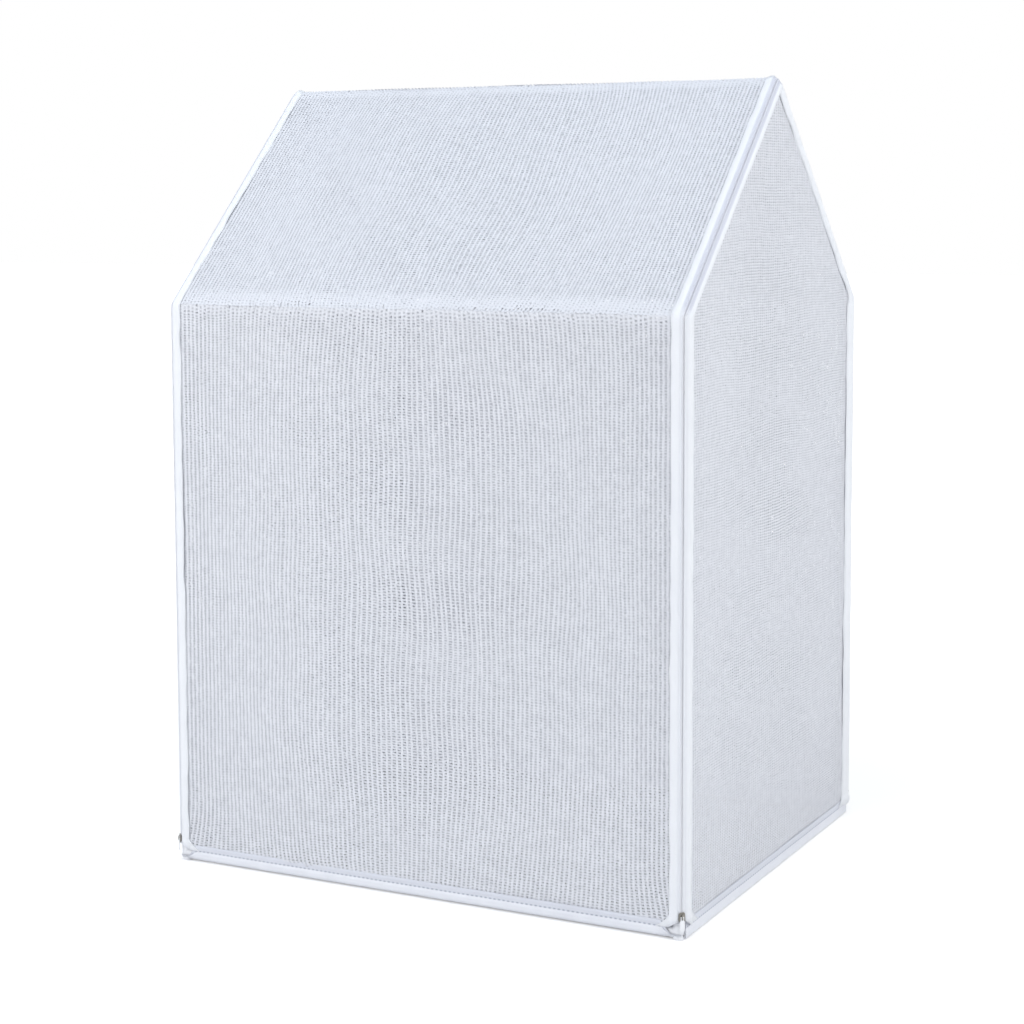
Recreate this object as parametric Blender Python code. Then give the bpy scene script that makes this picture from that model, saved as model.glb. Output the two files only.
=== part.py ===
"""Mini greenhouse: a slim tube frame in moulded joints, dressed in a cover of knitted net.

The ridge runs along X and the front wall faces -Y. The origin is on the ground, under the middle
of the frame. One strip of net runs up the front wall, over the roof and down the back wall. The
net over each end is zipped to it along both corner posts and both rafters. Below a fold line just
under the eaves that end net is a door, which lifts once its two sliders are up. The zips stand
across the corners of the frame, turned half way between the two faces that they join.
"""

import math

import bmesh
import bpy
from mathutils import Matrix, Vector

# Overall sizes in metres, to the outer faces of the nets, and the height of the eave rails' centre
WIDTH = 1.000
DEPTH = 0.850
HEIGHT = 1.420
EAVE_HEIGHT = 1.020

# Space between pieces that touch
CLEARANCE = 0.0003

# Facets round a tube or a socket, and steps round a rounded corner
ROUND_SIDES = 16
CORNER_STEPS = 4

# Frame tubes
TUBE_RADIUS = 0.008
TUBE_WALL = 0.0008
TUBE_STOP = 0.013

# Moulded joints
SOCKET_LENGTH = 0.040
SOCKET_WALL = 0.0016
LIP_LENGTH = 0.004
LIP_HEIGHT = 0.0004
RIB_REACH = 0.021
RIB_THICKNESS = 0.002
FOOT_THICKNESS = 0.0026

# Net panels, the hem sleeves along their lower edges and the doors' fold line below the eave
NET_THICKNESS = 0.0006
HEM_SEAM_RISE = 0.0145
DOOR_HEM_DEPTH = 0.0026
DOOR_FOLD_DROP = 0.060
FOLD_STEPS = 6

# Openings of the net. The real ones are a few millimetres wide, and a coarse grid in each door
# stands for them, with about the share of the net that they leave open.
OPENINGS_ACROSS = 5
OPENINGS_UP = 5
OPENING_SIZE = 0.045

# Zips: the middle of the tape stays flat across the corner, and the rest bends back to the net
TAPE_WIDTH = 0.020
TAPE_FLAT = 0.009
TAPE_THICKNESS = 0.0006
COIL_WIDTH = 0.0028
COIL_HEIGHT = 0.0016
COIL_SHOULDER = 0.0009
COIL_BEVEL = 0.0008
CHAIN_GAP = 0.0014

# Sliders, with the wedge that parts the coils and the crown that the pull hangs from
SLIDER_REST = 0.041
SLIDER_LENGTH = 0.0155
SLIDER_WALL = 0.0012
SLIDER_BACK = 0.0006
FLANGE_WALL = 0.0011
SLIDER_FLARE = 0.0010
SLIDER_ROUNDING = 0.0022
WEDGE_LENGTH = 0.0050
WEDGE_POINT = 0.0015
WEDGE_INSET = 0.0010
CROWN_LENGTH = 0.0084
CROWN_WIDTH = 0.0024
CROWN_WALL = 0.0010

# Pulls
PIN_RADIUS = 0.0007
PULL_ARM = 0.0013
PULL_LENGTH = 0.0240
PULL_WIDTH = 0.0090
PULL_ROUNDING = 0.0030

# Worked out from the sizes above. Distances named net, tape and so on are from a tube's centre.
DIAGONAL = math.sqrt(0.5)
BORE_RADIUS = TUBE_RADIUS + CLEARANCE
SOCKET_RADIUS = BORE_RADIUS + SOCKET_WALL
BODY_RADIUS = SOCKET_RADIUS - LIP_HEIGHT
NET_INNER = SOCKET_RADIUS + CLEARANCE
NET_OUTER = NET_INNER + NET_THICKNESS
FRAME_X = WIDTH / 2 - NET_OUTER
FRAME_Y = DEPTH / 2 - NET_OUTER
BASE_Z = SOCKET_RADIUS + FOOT_THICKNESS
RIDGE_Z = HEIGHT - NET_OUTER
SLOPE = math.atan2(RIDGE_Z - EAVE_HEIGHT, FRAME_Y)
HEM_TOP = BASE_Z + HEM_SEAM_RISE * NET_OUTER / NET_INNER
FOLD_Z = EAVE_HEIGHT - DOOR_FOLD_DROP
TAPE_INNER = SOCKET_RADIUS + SLIDER_BACK + 2 * CLEARANCE
TAPE_OUTER = TAPE_INNER + TAPE_THICKNESS
COIL_OUTER = TAPE_OUTER + COIL_HEIGHT
PLATE_INNER = COIL_OUTER + CLEARANCE
PLATE_OUTER = PLATE_INNER + SLIDER_WALL
PIN_OUT = PLATE_OUTER + CLEARANCE + PIN_RADIUS

FRONT, BACK = -1, 1
LEFT, RIGHT = -1, 1
SIDES = {"left": LEFT, "right": RIGHT}
FACES = {"front": FRONT, "back": BACK}

FINISHES = {
    "painted_steel": ((0.80, 0.81, 0.83), 0.38, 0.0),
    "moulded_white": ((0.84, 0.85, 0.86), 0.45, 0.0),
    "knitted_net": ((0.78, 0.81, 0.88), 0.80, 0.0),
    "hem_fabric": ((0.76, 0.78, 0.84), 0.85, 0.0),
    "zip_tape": ((0.88, 0.88, 0.93), 0.80, 0.0),
    "dark_zinc": ((0.18, 0.18, 0.20), 0.35, 1.0),
    "white_pull": ((0.90, 0.90, 0.92), 0.40, 0.0),
}


def clear_scene():
    """Remove every object that the file opened with."""
    for old in list(bpy.data.objects):
        bpy.data.objects.remove(old, do_unlink=True)


def finish_for(name, finish):
    """Make the piece's own material."""
    colour, roughness, metallic = FINISHES[finish]
    material = bpy.data.materials.new(f"{name}_{finish}")
    material.use_nodes = True
    shader = material.node_tree.nodes["Principled BSDF"]
    shader.inputs["Base Color"].default_value = (*colour, 1.0)
    shader.inputs["Roughness"].default_value = roughness
    shader.inputs["Metallic"].default_value = metallic
    material.diffuse_color = (*colour, 1.0)
    return material


def add_piece(name, shape, finish, place=None, parent=None):
    """Turn a bmesh into a named object with its own material, placed in the world."""
    mesh = bpy.data.meshes.new(name)
    shape.to_mesh(mesh)
    shape.free()
    mesh.shade_smooth()
    mesh.set_sharp_from_angle(angle=math.radians(32))
    mesh.materials.append(finish_for(name, finish))
    piece = bpy.data.objects.new(name, mesh)
    bpy.context.collection.objects.link(piece)
    piece.parent = parent
    if place is not None:
        piece.matrix_local = place
    return piece


def outward(shape):
    """Point every face of a closed shape outward."""
    bmesh.ops.recalc_face_normals(shape, faces=shape.faces)
    if shape.calc_volume(signed=True) < 0:
        bmesh.ops.reverse_faces(shape, faces=shape.faces)
    return shape


def lofted(rings, closed=False):
    """Join rings of points into a solid: with flat ends, or closed from the last to the first."""
    shape = bmesh.new()
    loops = [[shape.verts.new(point) for point in ring] for ring in rings]
    pairs = list(zip(loops, loops[1:]))
    if closed:
        pairs.append((loops[-1], loops[0]))
    else:
        shape.faces.new(loops[0])
        shape.faces.new(loops[-1])
    for near, far in pairs:
        for here, there in zip(range(len(near)), [*range(1, len(near)), 0]):
            shape.faces.new((near[here], near[there], far[there], far[here]))
    return outward(shape)


def sleeve(outer, inner, start, end):
    """Push two nested outlines of as many points each from start to end: an open-ended sleeve."""
    rings = [(outer, start), (outer, end), (inner, end), (inner, start)]
    return lofted([[(*point, height) for point in outline] for outline, height in rings], closed=True)


def slab(outline, start, end):
    """Push a flat outline from start to end."""
    return lofted([[(*point, height) for point in outline] for height in (start, end)])


def circle(radius, sides=ROUND_SIDES):
    """Points round a circle."""
    turns = [2 * math.pi * step / sides for step in range(sides)]
    return [(radius * math.cos(turn), radius * math.sin(turn)) for turn in turns]


def turned(profile):
    """Turn a profile of radii and heights round Z."""
    return lofted([[(*point, height) for point in circle(radius)] for radius, height in profile])


def corner_arc(before, corner, after, radius):
    """The arc that rounds one corner of an outline and touches both of its sides."""
    corner = Vector(corner)
    back = (Vector(before) - corner).normalized()
    ahead = (Vector(after) - corner).normalized()
    half_angle = back.angle(ahead) / 2
    middle = corner + (back + ahead).normalized() * radius / math.sin(half_angle)
    first = corner + back * radius / math.tan(half_angle) - middle
    sweep = first.angle_signed(corner + ahead * radius / math.tan(half_angle) - middle)
    turns = [Matrix.Rotation(-sweep * step / CORNER_STEPS, 2) for step in range(CORNER_STEPS + 1)]
    return [tuple(middle + turn @ first) for turn in turns]


def rounded(corners, radius):
    """An outline with each of its corners rounded."""
    outline = []
    for before, corner, after in zip(corners[-1:] + corners[:-1], corners, corners[1:] + corners[:1]):
        outline += corner_arc(before, corner, after, radius)
    return outline


def along(direction, start=Vector((0, 0, 0))):
    """A placement that stands local Z on a direction."""
    turn = Vector(direction).to_track_quat("Z", "Y").to_matrix().to_4x4()
    return Matrix.Translation(start) @ turn


def plane_frame(first, second, third):
    """A turn that lays local X, Y and Z on three world directions."""
    return Matrix((first, second, third)).transposed().to_4x4()


def put(shape, place):
    """Move a bmesh, and turn its faces outward again if the move mirrors it."""
    shape.transform(place)
    return outward(shape)


def helper(shape):
    """A hidden object that only shapes another one."""
    mesh = bpy.data.meshes.new("helper")
    shape.to_mesh(mesh)
    shape.free()
    tool = bpy.data.objects.new("helper", mesh)
    bpy.context.collection.objects.link(tool)
    tool.hide_render = True
    tool.display_type = "WIRE"
    return tool


def fused(first, added):
    """One solid: a first shape and others grown together with it."""
    body = helper(first)
    tools = [helper(shape) for shape in added]
    for tool in tools:
        step = body.modifiers.new("union", "BOOLEAN")
        step.operation = "UNION"
        step.solver = "EXACT"
        step.object = tool
    bpy.context.view_layer.update()
    result = body.evaluated_get(bpy.context.evaluated_depsgraph_get())
    shape = bmesh.new()
    shape.from_mesh(result.to_mesh())
    result.to_mesh_clear()
    for tool in [body, *tools]:
        bpy.data.objects.remove(tool, do_unlink=True)
    return shape


# Frame. The hub and the sockets of a joint are each twisted by another share of a facet, so that
# no two of their edges coincide where they grow together.

HUB_TWIST = 0.40
SOCKET_TWIST = 0.15
NEXT_SOCKET_TWIST = 0.27


def socket():
    """One socket, open at its mouth, with a lip round it and a floor that the tube stops at."""
    return turned([
        (BODY_RADIUS, 0),
        (BODY_RADIUS, SOCKET_LENGTH - LIP_LENGTH - LIP_HEIGHT),
        (SOCKET_RADIUS, SOCKET_LENGTH - LIP_LENGTH),
        (SOCKET_RADIUS, SOCKET_LENGTH - LIP_HEIGHT),
        (BODY_RADIUS, SOCKET_LENGTH),
        (BORE_RADIUS, SOCKET_LENGTH),
        (BORE_RADIUS, TUBE_STOP - CLEARANCE),
    ])


def rib(first, second):
    """The web in the angle between two sockets, grown from the middle of their walls."""
    depth = BORE_RADIUS + SOCKET_WALL / 2
    from_first = (second - first * first.dot(second)).normalized()
    from_second = (first - second * first.dot(second)).normalized()
    crotch = (first + second) * depth / math.sin(first.angle(second))
    corners = [crotch, first * RIB_REACH + from_first * depth, second * RIB_REACH + from_second * depth]
    across = first.cross(second).normalized()
    return lofted([[corner + across * offset for corner in corners]
                   for offset in (-RIB_THICKNESS / 2, RIB_THICKNESS / 2)])


def add_joint(name, centre, directions, foot=False):
    """A moulded joint: a round hub with a socket for each tube, ribs, and a foot on the ground."""
    facet = 2 * math.pi / ROUND_SIDES
    hub = bmesh.new()
    bmesh.ops.create_uvsphere(hub, u_segments=ROUND_SIDES, v_segments=ROUND_SIDES // 2,
                              radius=SOCKET_RADIUS)
    hub.transform(Matrix.Rotation(facet * HUB_TWIST, 4, (1, 2, 3)))
    grown = []
    for number, direction in enumerate(directions):
        twist = Matrix.Rotation(facet * (SOCKET_TWIST + NEXT_SOCKET_TWIST * number), 4, "Z")
        grown.append(put(socket(), along(direction) @ twist))
    pairs = [(a, b) for i, a in enumerate(directions) for b in directions[i + 1:]]
    grown += [rib(a, b) for a, b in pairs]
    if foot:
        grown.append(turned([
            (BODY_RADIUS, -BASE_Z),
            (BODY_RADIUS, FOOT_THICKNESS - BASE_Z),
            (BODY_RADIUS / 2, 0),
        ]))
    add_piece(name, fused(hub, grown), "moulded_white", Matrix.Translation(centre))


def add_tube(name, start, end):
    """A tube between the centres of two joints, whose ends stop short of both."""
    length = (end - start).length
    shape = sleeve(circle(TUBE_RADIUS), circle(TUBE_RADIUS - TUBE_WALL), TUBE_STOP, length - TUBE_STOP)
    add_piece(name, shape, "painted_steel", along(end - start, start))


def add_frame():
    """Base, posts, eaves, rafters and ridge."""
    up = Vector((0, 0, 1))
    centre = {}
    for side_name, side in SIDES.items():
        ridge_end = Vector((side * FRAME_X, 0, RIDGE_Z))
        centre["ridge", side_name] = ridge_end
        inward = Vector((-side, 0, 0))
        rafters = []
        for face_name, face in FACES.items():
            base = Vector((side * FRAME_X, face * FRAME_Y, BASE_Z))
            eave = Vector((side * FRAME_X, face * FRAME_Y, EAVE_HEIGHT))
            centre["base", face_name, side_name] = base
            centre["eave", face_name, side_name] = eave
            across = Vector((0, -face, 0))
            rafter = (ridge_end - eave).normalized()
            rafters.append(-rafter)
            corner = f"{face_name}_{side_name}"
            add_joint(f"base_corner_{corner}", base, [inward, across, up], foot=True)
            add_joint(f"eave_joint_{corner}", eave, [inward, -up, rafter])
            add_tube(f"post_{corner}", base, eave)
            add_tube(f"rafter_{corner}", eave, ridge_end)
        add_joint(f"ridge_joint_{side_name}", ridge_end, [inward, *rafters])
        add_tube(f"base_rail_{side_name}", centre["base", "front", side_name],
                 centre["base", "back", side_name])
    for face_name in FACES:
        for level in ("base", "eave"):
            add_tube(f"{level}_rail_{face_name}", centre[level, face_name, "left"],
                     centre[level, face_name, "right"])
    add_tube("ridge_rail", centre["ridge", "left"], centre["ridge", "right"])


# Cover. A run climbs a wall, bends over the eave, climbs the roof and bends over the ridge. Each
# station on it gives a tube's centre, as a distance from the middle and a height, and the way the
# cover faces there, as an angle above level.

BEND_STEPS = 3
BEND_SPREAD = 0.004
ROOF_FACING = math.pi / 2 - SLOPE
RIDGE_SEAM = CLEARANCE / 2


def wall_stations(low, high):
    """The straight part up the wall."""
    return [(FRAME_Y, low, 0.0, None), (FRAME_Y, high, 0.0, None)]


def bend_stations(distance, height, first, last, kind):
    """The stations round one bend, each with its share of the bend."""
    shares = [step / BEND_STEPS for step in range(BEND_STEPS + 1)]
    return [(distance, height, first + (last - first) * share, (kind, share)) for share in shares]


def roof_stations():
    """Over the eave, up the roof and over the ridge to the seam on top."""
    return (bend_stations(FRAME_Y, EAVE_HEIGHT, 0.0, ROOF_FACING, "eave")
            + bend_stations(RIDGE_SEAM, RIDGE_Z, ROOF_FACING, math.pi / 2, "ridge"))


def inside_bend(distance, height, lift, bend):
    """A point on the hollow side of a bend, close to where its two straight lines cross."""
    kind, share = bend
    down_roof = Vector((math.cos(SLOPE), -math.sin(SLOPE)))
    if kind == "ridge":
        crossing = Vector((distance, height + lift / math.cos(SLOPE)))
        return crossing + down_roof * BEND_SPREAD * (1 - share)
    half = ROOF_FACING / 2
    crossing = Vector((distance + lift, height + lift * math.tan(half)))
    step = BEND_SPREAD * (share - 0.5)
    return crossing + (Vector((0, step)) if step < 0 else -down_roof * step)


def station_point(station, lift):
    """The point that stands a given distance out from a station's tube centre."""
    distance, height, facing, bend = station
    if lift < 0 and bend:
        return inside_bend(distance, height, lift, bend)
    return Vector((distance + lift * math.cos(facing), height + lift * math.sin(facing)))


def run_shape(section, stations, face):
    """Sweep a section of sideways places and lifts along a run."""
    rings = []
    for station in stations:
        points = [(sideways, station_point(station, lift)) for sideways, lift in section]
        rings.append([(sideways, face * point.x, point.y) for sideways, point in points])
    return lofted(rings)


def add_cover_strip():
    """The walls and roof slopes."""
    section = [(-FRAME_X, NET_INNER), (FRAME_X, NET_INNER), (FRAME_X, NET_OUTER), (-FRAME_X, NET_OUTER)]
    for face_name, face in FACES.items():
        wall = wall_stations(HEM_TOP + CLEARANCE, EAVE_HEIGHT - CLEARANCE)
        add_piece(f"wall_net_{face_name}", run_shape(section, wall, face), "knitted_net")
        add_piece(f"roof_net_{face_name}", run_shape(section, roof_stations(), face), "knitted_net")


def hem_outline(radius):
    """A sleeve's outline round the rail: a ring drawn out to the stitch line above it."""
    rise = HEM_SEAM_RISE * radius / NET_INNER
    leaves = 2 * math.atan2(rise, radius)
    sweep = 2 * math.pi - leaves
    turns = [leaves + sweep * step / ROUND_SIDES for step in range(ROUND_SIDES + 1)]
    return [(radius, rise)] + [(radius * math.cos(t), radius * math.sin(t)) for t in turns]


def add_hem_sleeves():
    """The sleeves that the front and back rails run through."""
    reach = FRAME_X - RIB_REACH - CLEARANCE
    for face_name, face in FACES.items():
        shape = sleeve(hem_outline(NET_OUTER), hem_outline(NET_INNER), -reach, reach)
        turn = plane_frame((0, face, 0), (0, 0, 1), (1, 0, 0))
        place = Matrix.Translation((0, face * FRAME_Y, BASE_Z))
        add_piece(f"hem_sleeve_{face_name}", put(shape, turn), "hem_fabric", place)


def zip_section():
    """One half of a zip across a corner, as distances out from the post along the two faces.

    The tape runs flat from beside the chain, then bends back to lie on the net. The coil is
    sewn along its inner edge.
    """
    def across(offset, lift):
        return Vector((DIAGONAL * (lift - offset), DIAGONAL * (lift + offset)))

    edge = CHAIN_GAP / 2
    bend = across(TAPE_FLAT, TAPE_INNER)
    drop = bend.y - NET_OUTER - CLEARANCE
    end = bend - Vector((math.sqrt((TAPE_WIDTH - TAPE_FLAT) ** 2 - drop ** 2), drop))
    tail = (end - bend).normalized()
    out = Vector((tail.y, -tail.x))
    if out.y < 0:
        out = -out
    flat_out = across(0, 1)
    corner_out = (out + flat_out) / (1 + out.dot(flat_out))
    coil = [
        across(edge + COIL_WIDTH, TAPE_OUTER),
        across(edge + COIL_WIDTH, TAPE_OUTER + COIL_SHOULDER),
        across(edge + COIL_WIDTH - COIL_BEVEL, COIL_OUTER),
        across(edge + COIL_BEVEL, COIL_OUTER),
        across(edge, TAPE_OUTER + COIL_SHOULDER),
    ]
    outside = [end + out * TAPE_THICKNESS, bend + corner_out * TAPE_THICKNESS]
    return [tuple(point) for point in (across(edge, TAPE_INNER), bend, end, *outside, *coil)]


COVER_HALF = zip_section()
END_HALF = [(lift, sideways) for sideways, lift in COVER_HALF]
HINGE_X = FRAME_X + max(sideways for sideways, lift in END_HALF)


def zip_shape(half, stations, side, face):
    """Sweep one half of a zip along a corner post and rafter."""
    section = [(side * (FRAME_X + sideways), lift) for sideways, lift in half]
    return run_shape(section, stations, face)


def add_fixed_zips():
    """The halves on the cover strip, and the end nets' halves above the doors."""
    for side_name, side in SIDES.items():
        for face_name, face in FACES.items():
            corner = f"{face_name}_{side_name}"
            whole = wall_stations(HEM_TOP + CLEARANCE, EAVE_HEIGHT - BEND_SPREAD) + roof_stations()
            add_piece(f"zip_cover_{corner}", zip_shape(COVER_HALF, whole, side, face), "zip_tape")
            upper = wall_stations(FOLD_Z + CLEARANCE, EAVE_HEIGHT - BEND_SPREAD * 2) + roof_stations()
            add_piece(f"zip_gable_{corner}", zip_shape(END_HALF, upper, side, face), "zip_tape")


def add_gables():
    """The fixed part of each end net, from the fold line to the ridge."""
    low = FOLD_Z + CLEARANCE
    outline = [(-FRAME_Y, low), (FRAME_Y, low), (FRAME_Y, EAVE_HEIGHT), (0, RIDGE_Z),
               (-FRAME_Y, EAVE_HEIGHT)]
    for side_name, side in SIDES.items():
        turn = plane_frame((0, 1, 0), (0, 0, 1), (side, 0, 0))
        shape = put(slab(outline, FRAME_X + NET_INNER, FRAME_X + NET_OUTER), turn)
        add_piece(f"gable_net_{side_name}", shape, "knitted_net")


def door_hem_outline(inset):
    """A flattened sleeve's outline, as distance out from the rail and height."""
    radius = DOOR_HEM_DEPTH / 2 - inset
    middle = NET_INNER + DOOR_HEM_DEPTH / 2
    low = BASE_Z - NET_OUTER + DOOR_HEM_DEPTH / 2
    high = HEM_TOP - DOOR_HEM_DEPTH / 2
    half_turn = [math.pi * step / FOLD_STEPS for step in range(FOLD_STEPS + 1)]
    top = [(middle + radius * math.cos(t), high + radius * math.sin(t)) for t in half_turn]
    bottom = [(middle - radius * math.cos(t), low - radius * math.sin(t)) for t in half_turn]
    return top + bottom


# Faces that meet at less than this angle are joined into one.
FLAT_ANGLE = math.radians(0.5)


def grid_lines(low, high, count):
    """Both rims of a row of openings, and the two sides of each opening in between."""
    pitch = (high - low) / count
    middles = [low + pitch * (number + 0.5) for number in range(count)]
    sides = [middle + step for middle in middles for step in (-OPENING_SIZE / 2, OPENING_SIZE / 2)]
    return [low, *sides, high]


def openwork(low, high, start, end):
    """An end net's panel from low to high, pushed from start to end, with a grid of openings."""
    columns = grid_lines(-FRAME_Y, FRAME_Y, OPENINGS_ACROSS)
    rows = grid_lines(low, high, OPENINGS_UP)
    shape = bmesh.new()
    corners = [[shape.verts.new((x, y, start)) for y in rows] for x in columns]
    for column in range(len(columns) - 1):
        for row in range(len(rows) - 1):
            if column % 2 == 0 or row % 2 == 0:
                near, far = corners[column], corners[column + 1]
                shape.faces.new((near[row], far[row], far[row + 1], near[row + 1]))
    sheet = list(shape.faces)
    grown = bmesh.ops.extrude_face_region(shape, geom=sheet, use_keep_orig=True)["geom"]
    moved = [item for item in grown if isinstance(item, bmesh.types.BMVert)]
    bmesh.ops.translate(shape, verts=moved, vec=(0, 0, end - start))
    bmesh.ops.dissolve_limit(shape, angle_limit=FLAT_ANGLE, verts=shape.verts, edges=shape.edges)
    return outward(shape)


def add_doors():
    """Each door's net, hem and two zip halves, hung on an empty at its fold line."""
    for side_name, side in SIDES.items():
        hinge = bpy.data.objects.new(f"door_hinge_{side_name}", None)
        bpy.context.collection.objects.link(hinge)
        hinge.location = (side * HINGE_X, 0, FOLD_Z)
        to_hinge = Matrix.Translation(-hinge.location)
        low = HEM_TOP + CLEARANCE
        high = FOLD_Z - CLEARANCE
        turn = plane_frame((0, 1, 0), (0, 0, 1), (side, 0, 0))
        net = put(openwork(low, high, FRAME_X + NET_INNER, FRAME_X + NET_OUTER), to_hinge @ turn)
        add_piece(f"door_net_{side_name}", net, "knitted_net", parent=hinge)

        hem = sleeve(door_hem_outline(0), door_hem_outline(NET_THICKNESS), -FRAME_Y, FRAME_Y)
        turn = plane_frame((side, 0, 0), (0, 0, 1), (0, 1, 0))
        place = to_hinge @ Matrix.Translation((side * FRAME_X, 0, 0)) @ turn
        add_piece(f"door_hem_{side_name}", put(hem, place), "hem_fabric", parent=hinge)

        lower = wall_stations(SLIDER_REST + SLIDER_LENGTH / 2 + CLEARANCE, high)
        for face_name, face in FACES.items():
            tape = put(zip_shape(END_HALF, lower, side, face), to_hinge)
            add_piece(f"zip_door_{face_name}_{side_name}", tape, "zip_tape", parent=hinge)


# Sliders. Local X runs across the zip, local Y points away from the post and Z runs up the zip.
# The channel closes upwards: the slider meets the coils at its lower, wider end.

CHAIN_OUT = (TAPE_INNER + TAPE_OUTER) / 2
CHANNEL_HALF = CHAIN_GAP / 2 + COIL_WIDTH + CLEARANCE
FACING_Y = plane_frame((1, 0, 0), (0, 0, 1), (0, 1, 0))


def plate(outline, near, far):
    """A flat piece of the slider between two distances out from the post."""
    return put(slab(outline, near - CHAIN_OUT, far - CHAIN_OUT), FACING_Y)


def slider_shape():
    """Two plates joined by a wedge, with a flange down each side and a crown on the front."""
    top = SLIDER_LENGTH / 2
    narrow = CHANNEL_HALF + SLIDER_WALL
    wide = narrow + SLIDER_FLARE
    shield = rounded([(-wide, -top), (wide, -top), (narrow, top), (-narrow, top)], SLIDER_ROUNDING)
    front = plate(shield, PLATE_INNER, PLATE_OUTER)
    back = plate(shield, TAPE_INNER - CLEARANCE - SLIDER_BACK, TAPE_INNER - CLEARANCE)
    grown = [back]

    end = top - SLIDER_ROUNDING
    shift = SLIDER_FLARE * SLIDER_ROUNDING / SLIDER_LENGTH
    for side in (LEFT, RIGHT):
        above = CHANNEL_HALF + shift
        below = CHANNEL_HALF + SLIDER_FLARE - shift
        flange = [
            (side * above, end),
            (side * (above + FLANGE_WALL), end),
            (side * (below + FLANGE_WALL), -end),
            (side * below, -end),
        ]
        grown.append(plate(flange, TAPE_OUTER + CLEARANCE, PLATE_INNER + SLIDER_WALL / 2))

    half = CHAIN_GAP / 2 - CLEARANCE
    foot = -top + WEDGE_INSET
    shoulder = foot + WEDGE_LENGTH - WEDGE_POINT
    wedge = [(-half, foot), (half, foot), (half, shoulder), (0, shoulder + WEDGE_POINT), (-half, shoulder)]
    into_back = TAPE_INNER - CLEARANCE - SLIDER_BACK / 2
    grown.append(plate(wedge, into_back, PLATE_INNER + SLIDER_WALL / 2))

    reach = CROWN_LENGTH / 2
    inner = reach - CROWN_WALL
    floor = PLATE_OUTER - CHAIN_OUT
    roof = PIN_OUT + PIN_RADIUS + CLEARANCE - CHAIN_OUT
    sunk = floor - SLIDER_WALL / 2
    arch = [(-reach, sunk), (-inner, sunk), (-inner, roof), (inner, roof), (inner, sunk), (reach, sunk),
            (reach, roof), (inner, roof + CROWN_WALL), (-inner, roof + CROWN_WALL), (-reach, roof)]
    turn = plane_frame((0, 0, 1), (0, 1, 0), (1, 0, 0))
    grown.append(put(slab(arch, -CROWN_WIDTH / 2, CROWN_WIDTH / 2), turn))
    return fused(front, grown)


def pull_shape():
    """A tab whose two arms pass the crown and meet on a pin under it."""
    gap = CROWN_WIDTH / 2 + CLEARANCE
    arm = gap + PULL_ARM
    crown_top = PIN_RADIUS + CLEARANCE + CROWN_WALL
    clears_crown = math.hypot(CROWN_LENGTH / 2, crown_top) + 2 * CLEARANCE
    half = PULL_WIDTH / 2
    shoulder = -clears_crown - PULL_ROUNDING
    tab = [(half, shoulder), (half, -PULL_LENGTH), (-half, -PULL_LENGTH), (-half, shoulder)]
    fork = [(-arm, 0), (-gap, 0), (-gap, -clears_crown), (gap, -clears_crown), (gap, 0), (arm, 0),
            (arm, -clears_crown), tab[0], *corner_arc(*tab[:3], PULL_ROUNDING),
            *corner_arc(*tab[1:], PULL_ROUNDING), tab[3], (-arm, -clears_crown)]
    body = put(slab(fork, -PIN_RADIUS, PIN_RADIUS), FACING_Y)
    pin = put(turned([(PIN_RADIUS, -arm), (PIN_RADIUS, arm)]), along((1, 0, 0)))
    return fused(body, [pin])


def add_sliders():
    """A slider on each zip by its corner post, and the pull that hangs from it."""
    for side_name, side in SIDES.items():
        for face_name, face in FACES.items():
            corner = f"{face_name}_{side_name}"
            out = Vector((side, face, 0)).normalized()
            turn = plane_frame(out.cross(Vector((0, 0, 1))), out, (0, 0, 1))
            post = Vector((side * FRAME_X, face * FRAME_Y, SLIDER_REST))
            place = Matrix.Translation(post + out * CHAIN_OUT) @ turn
            slider = add_piece(f"zip_slider_{corner}", slider_shape(), "dark_zinc", place)
            hang = Matrix.Translation((0, PIN_OUT - CHAIN_OUT, 0))
            add_piece(f"zip_pull_{corner}", pull_shape(), "white_pull", hang, parent=slider)


clear_scene()
add_frame()
add_cover_strip()
add_hem_sleeves()
add_fixed_zips()
add_gables()
add_doors()
add_sliders()
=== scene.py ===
import math

import bpy
import numpy as np
from mathutils import Matrix, Vector


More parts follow.
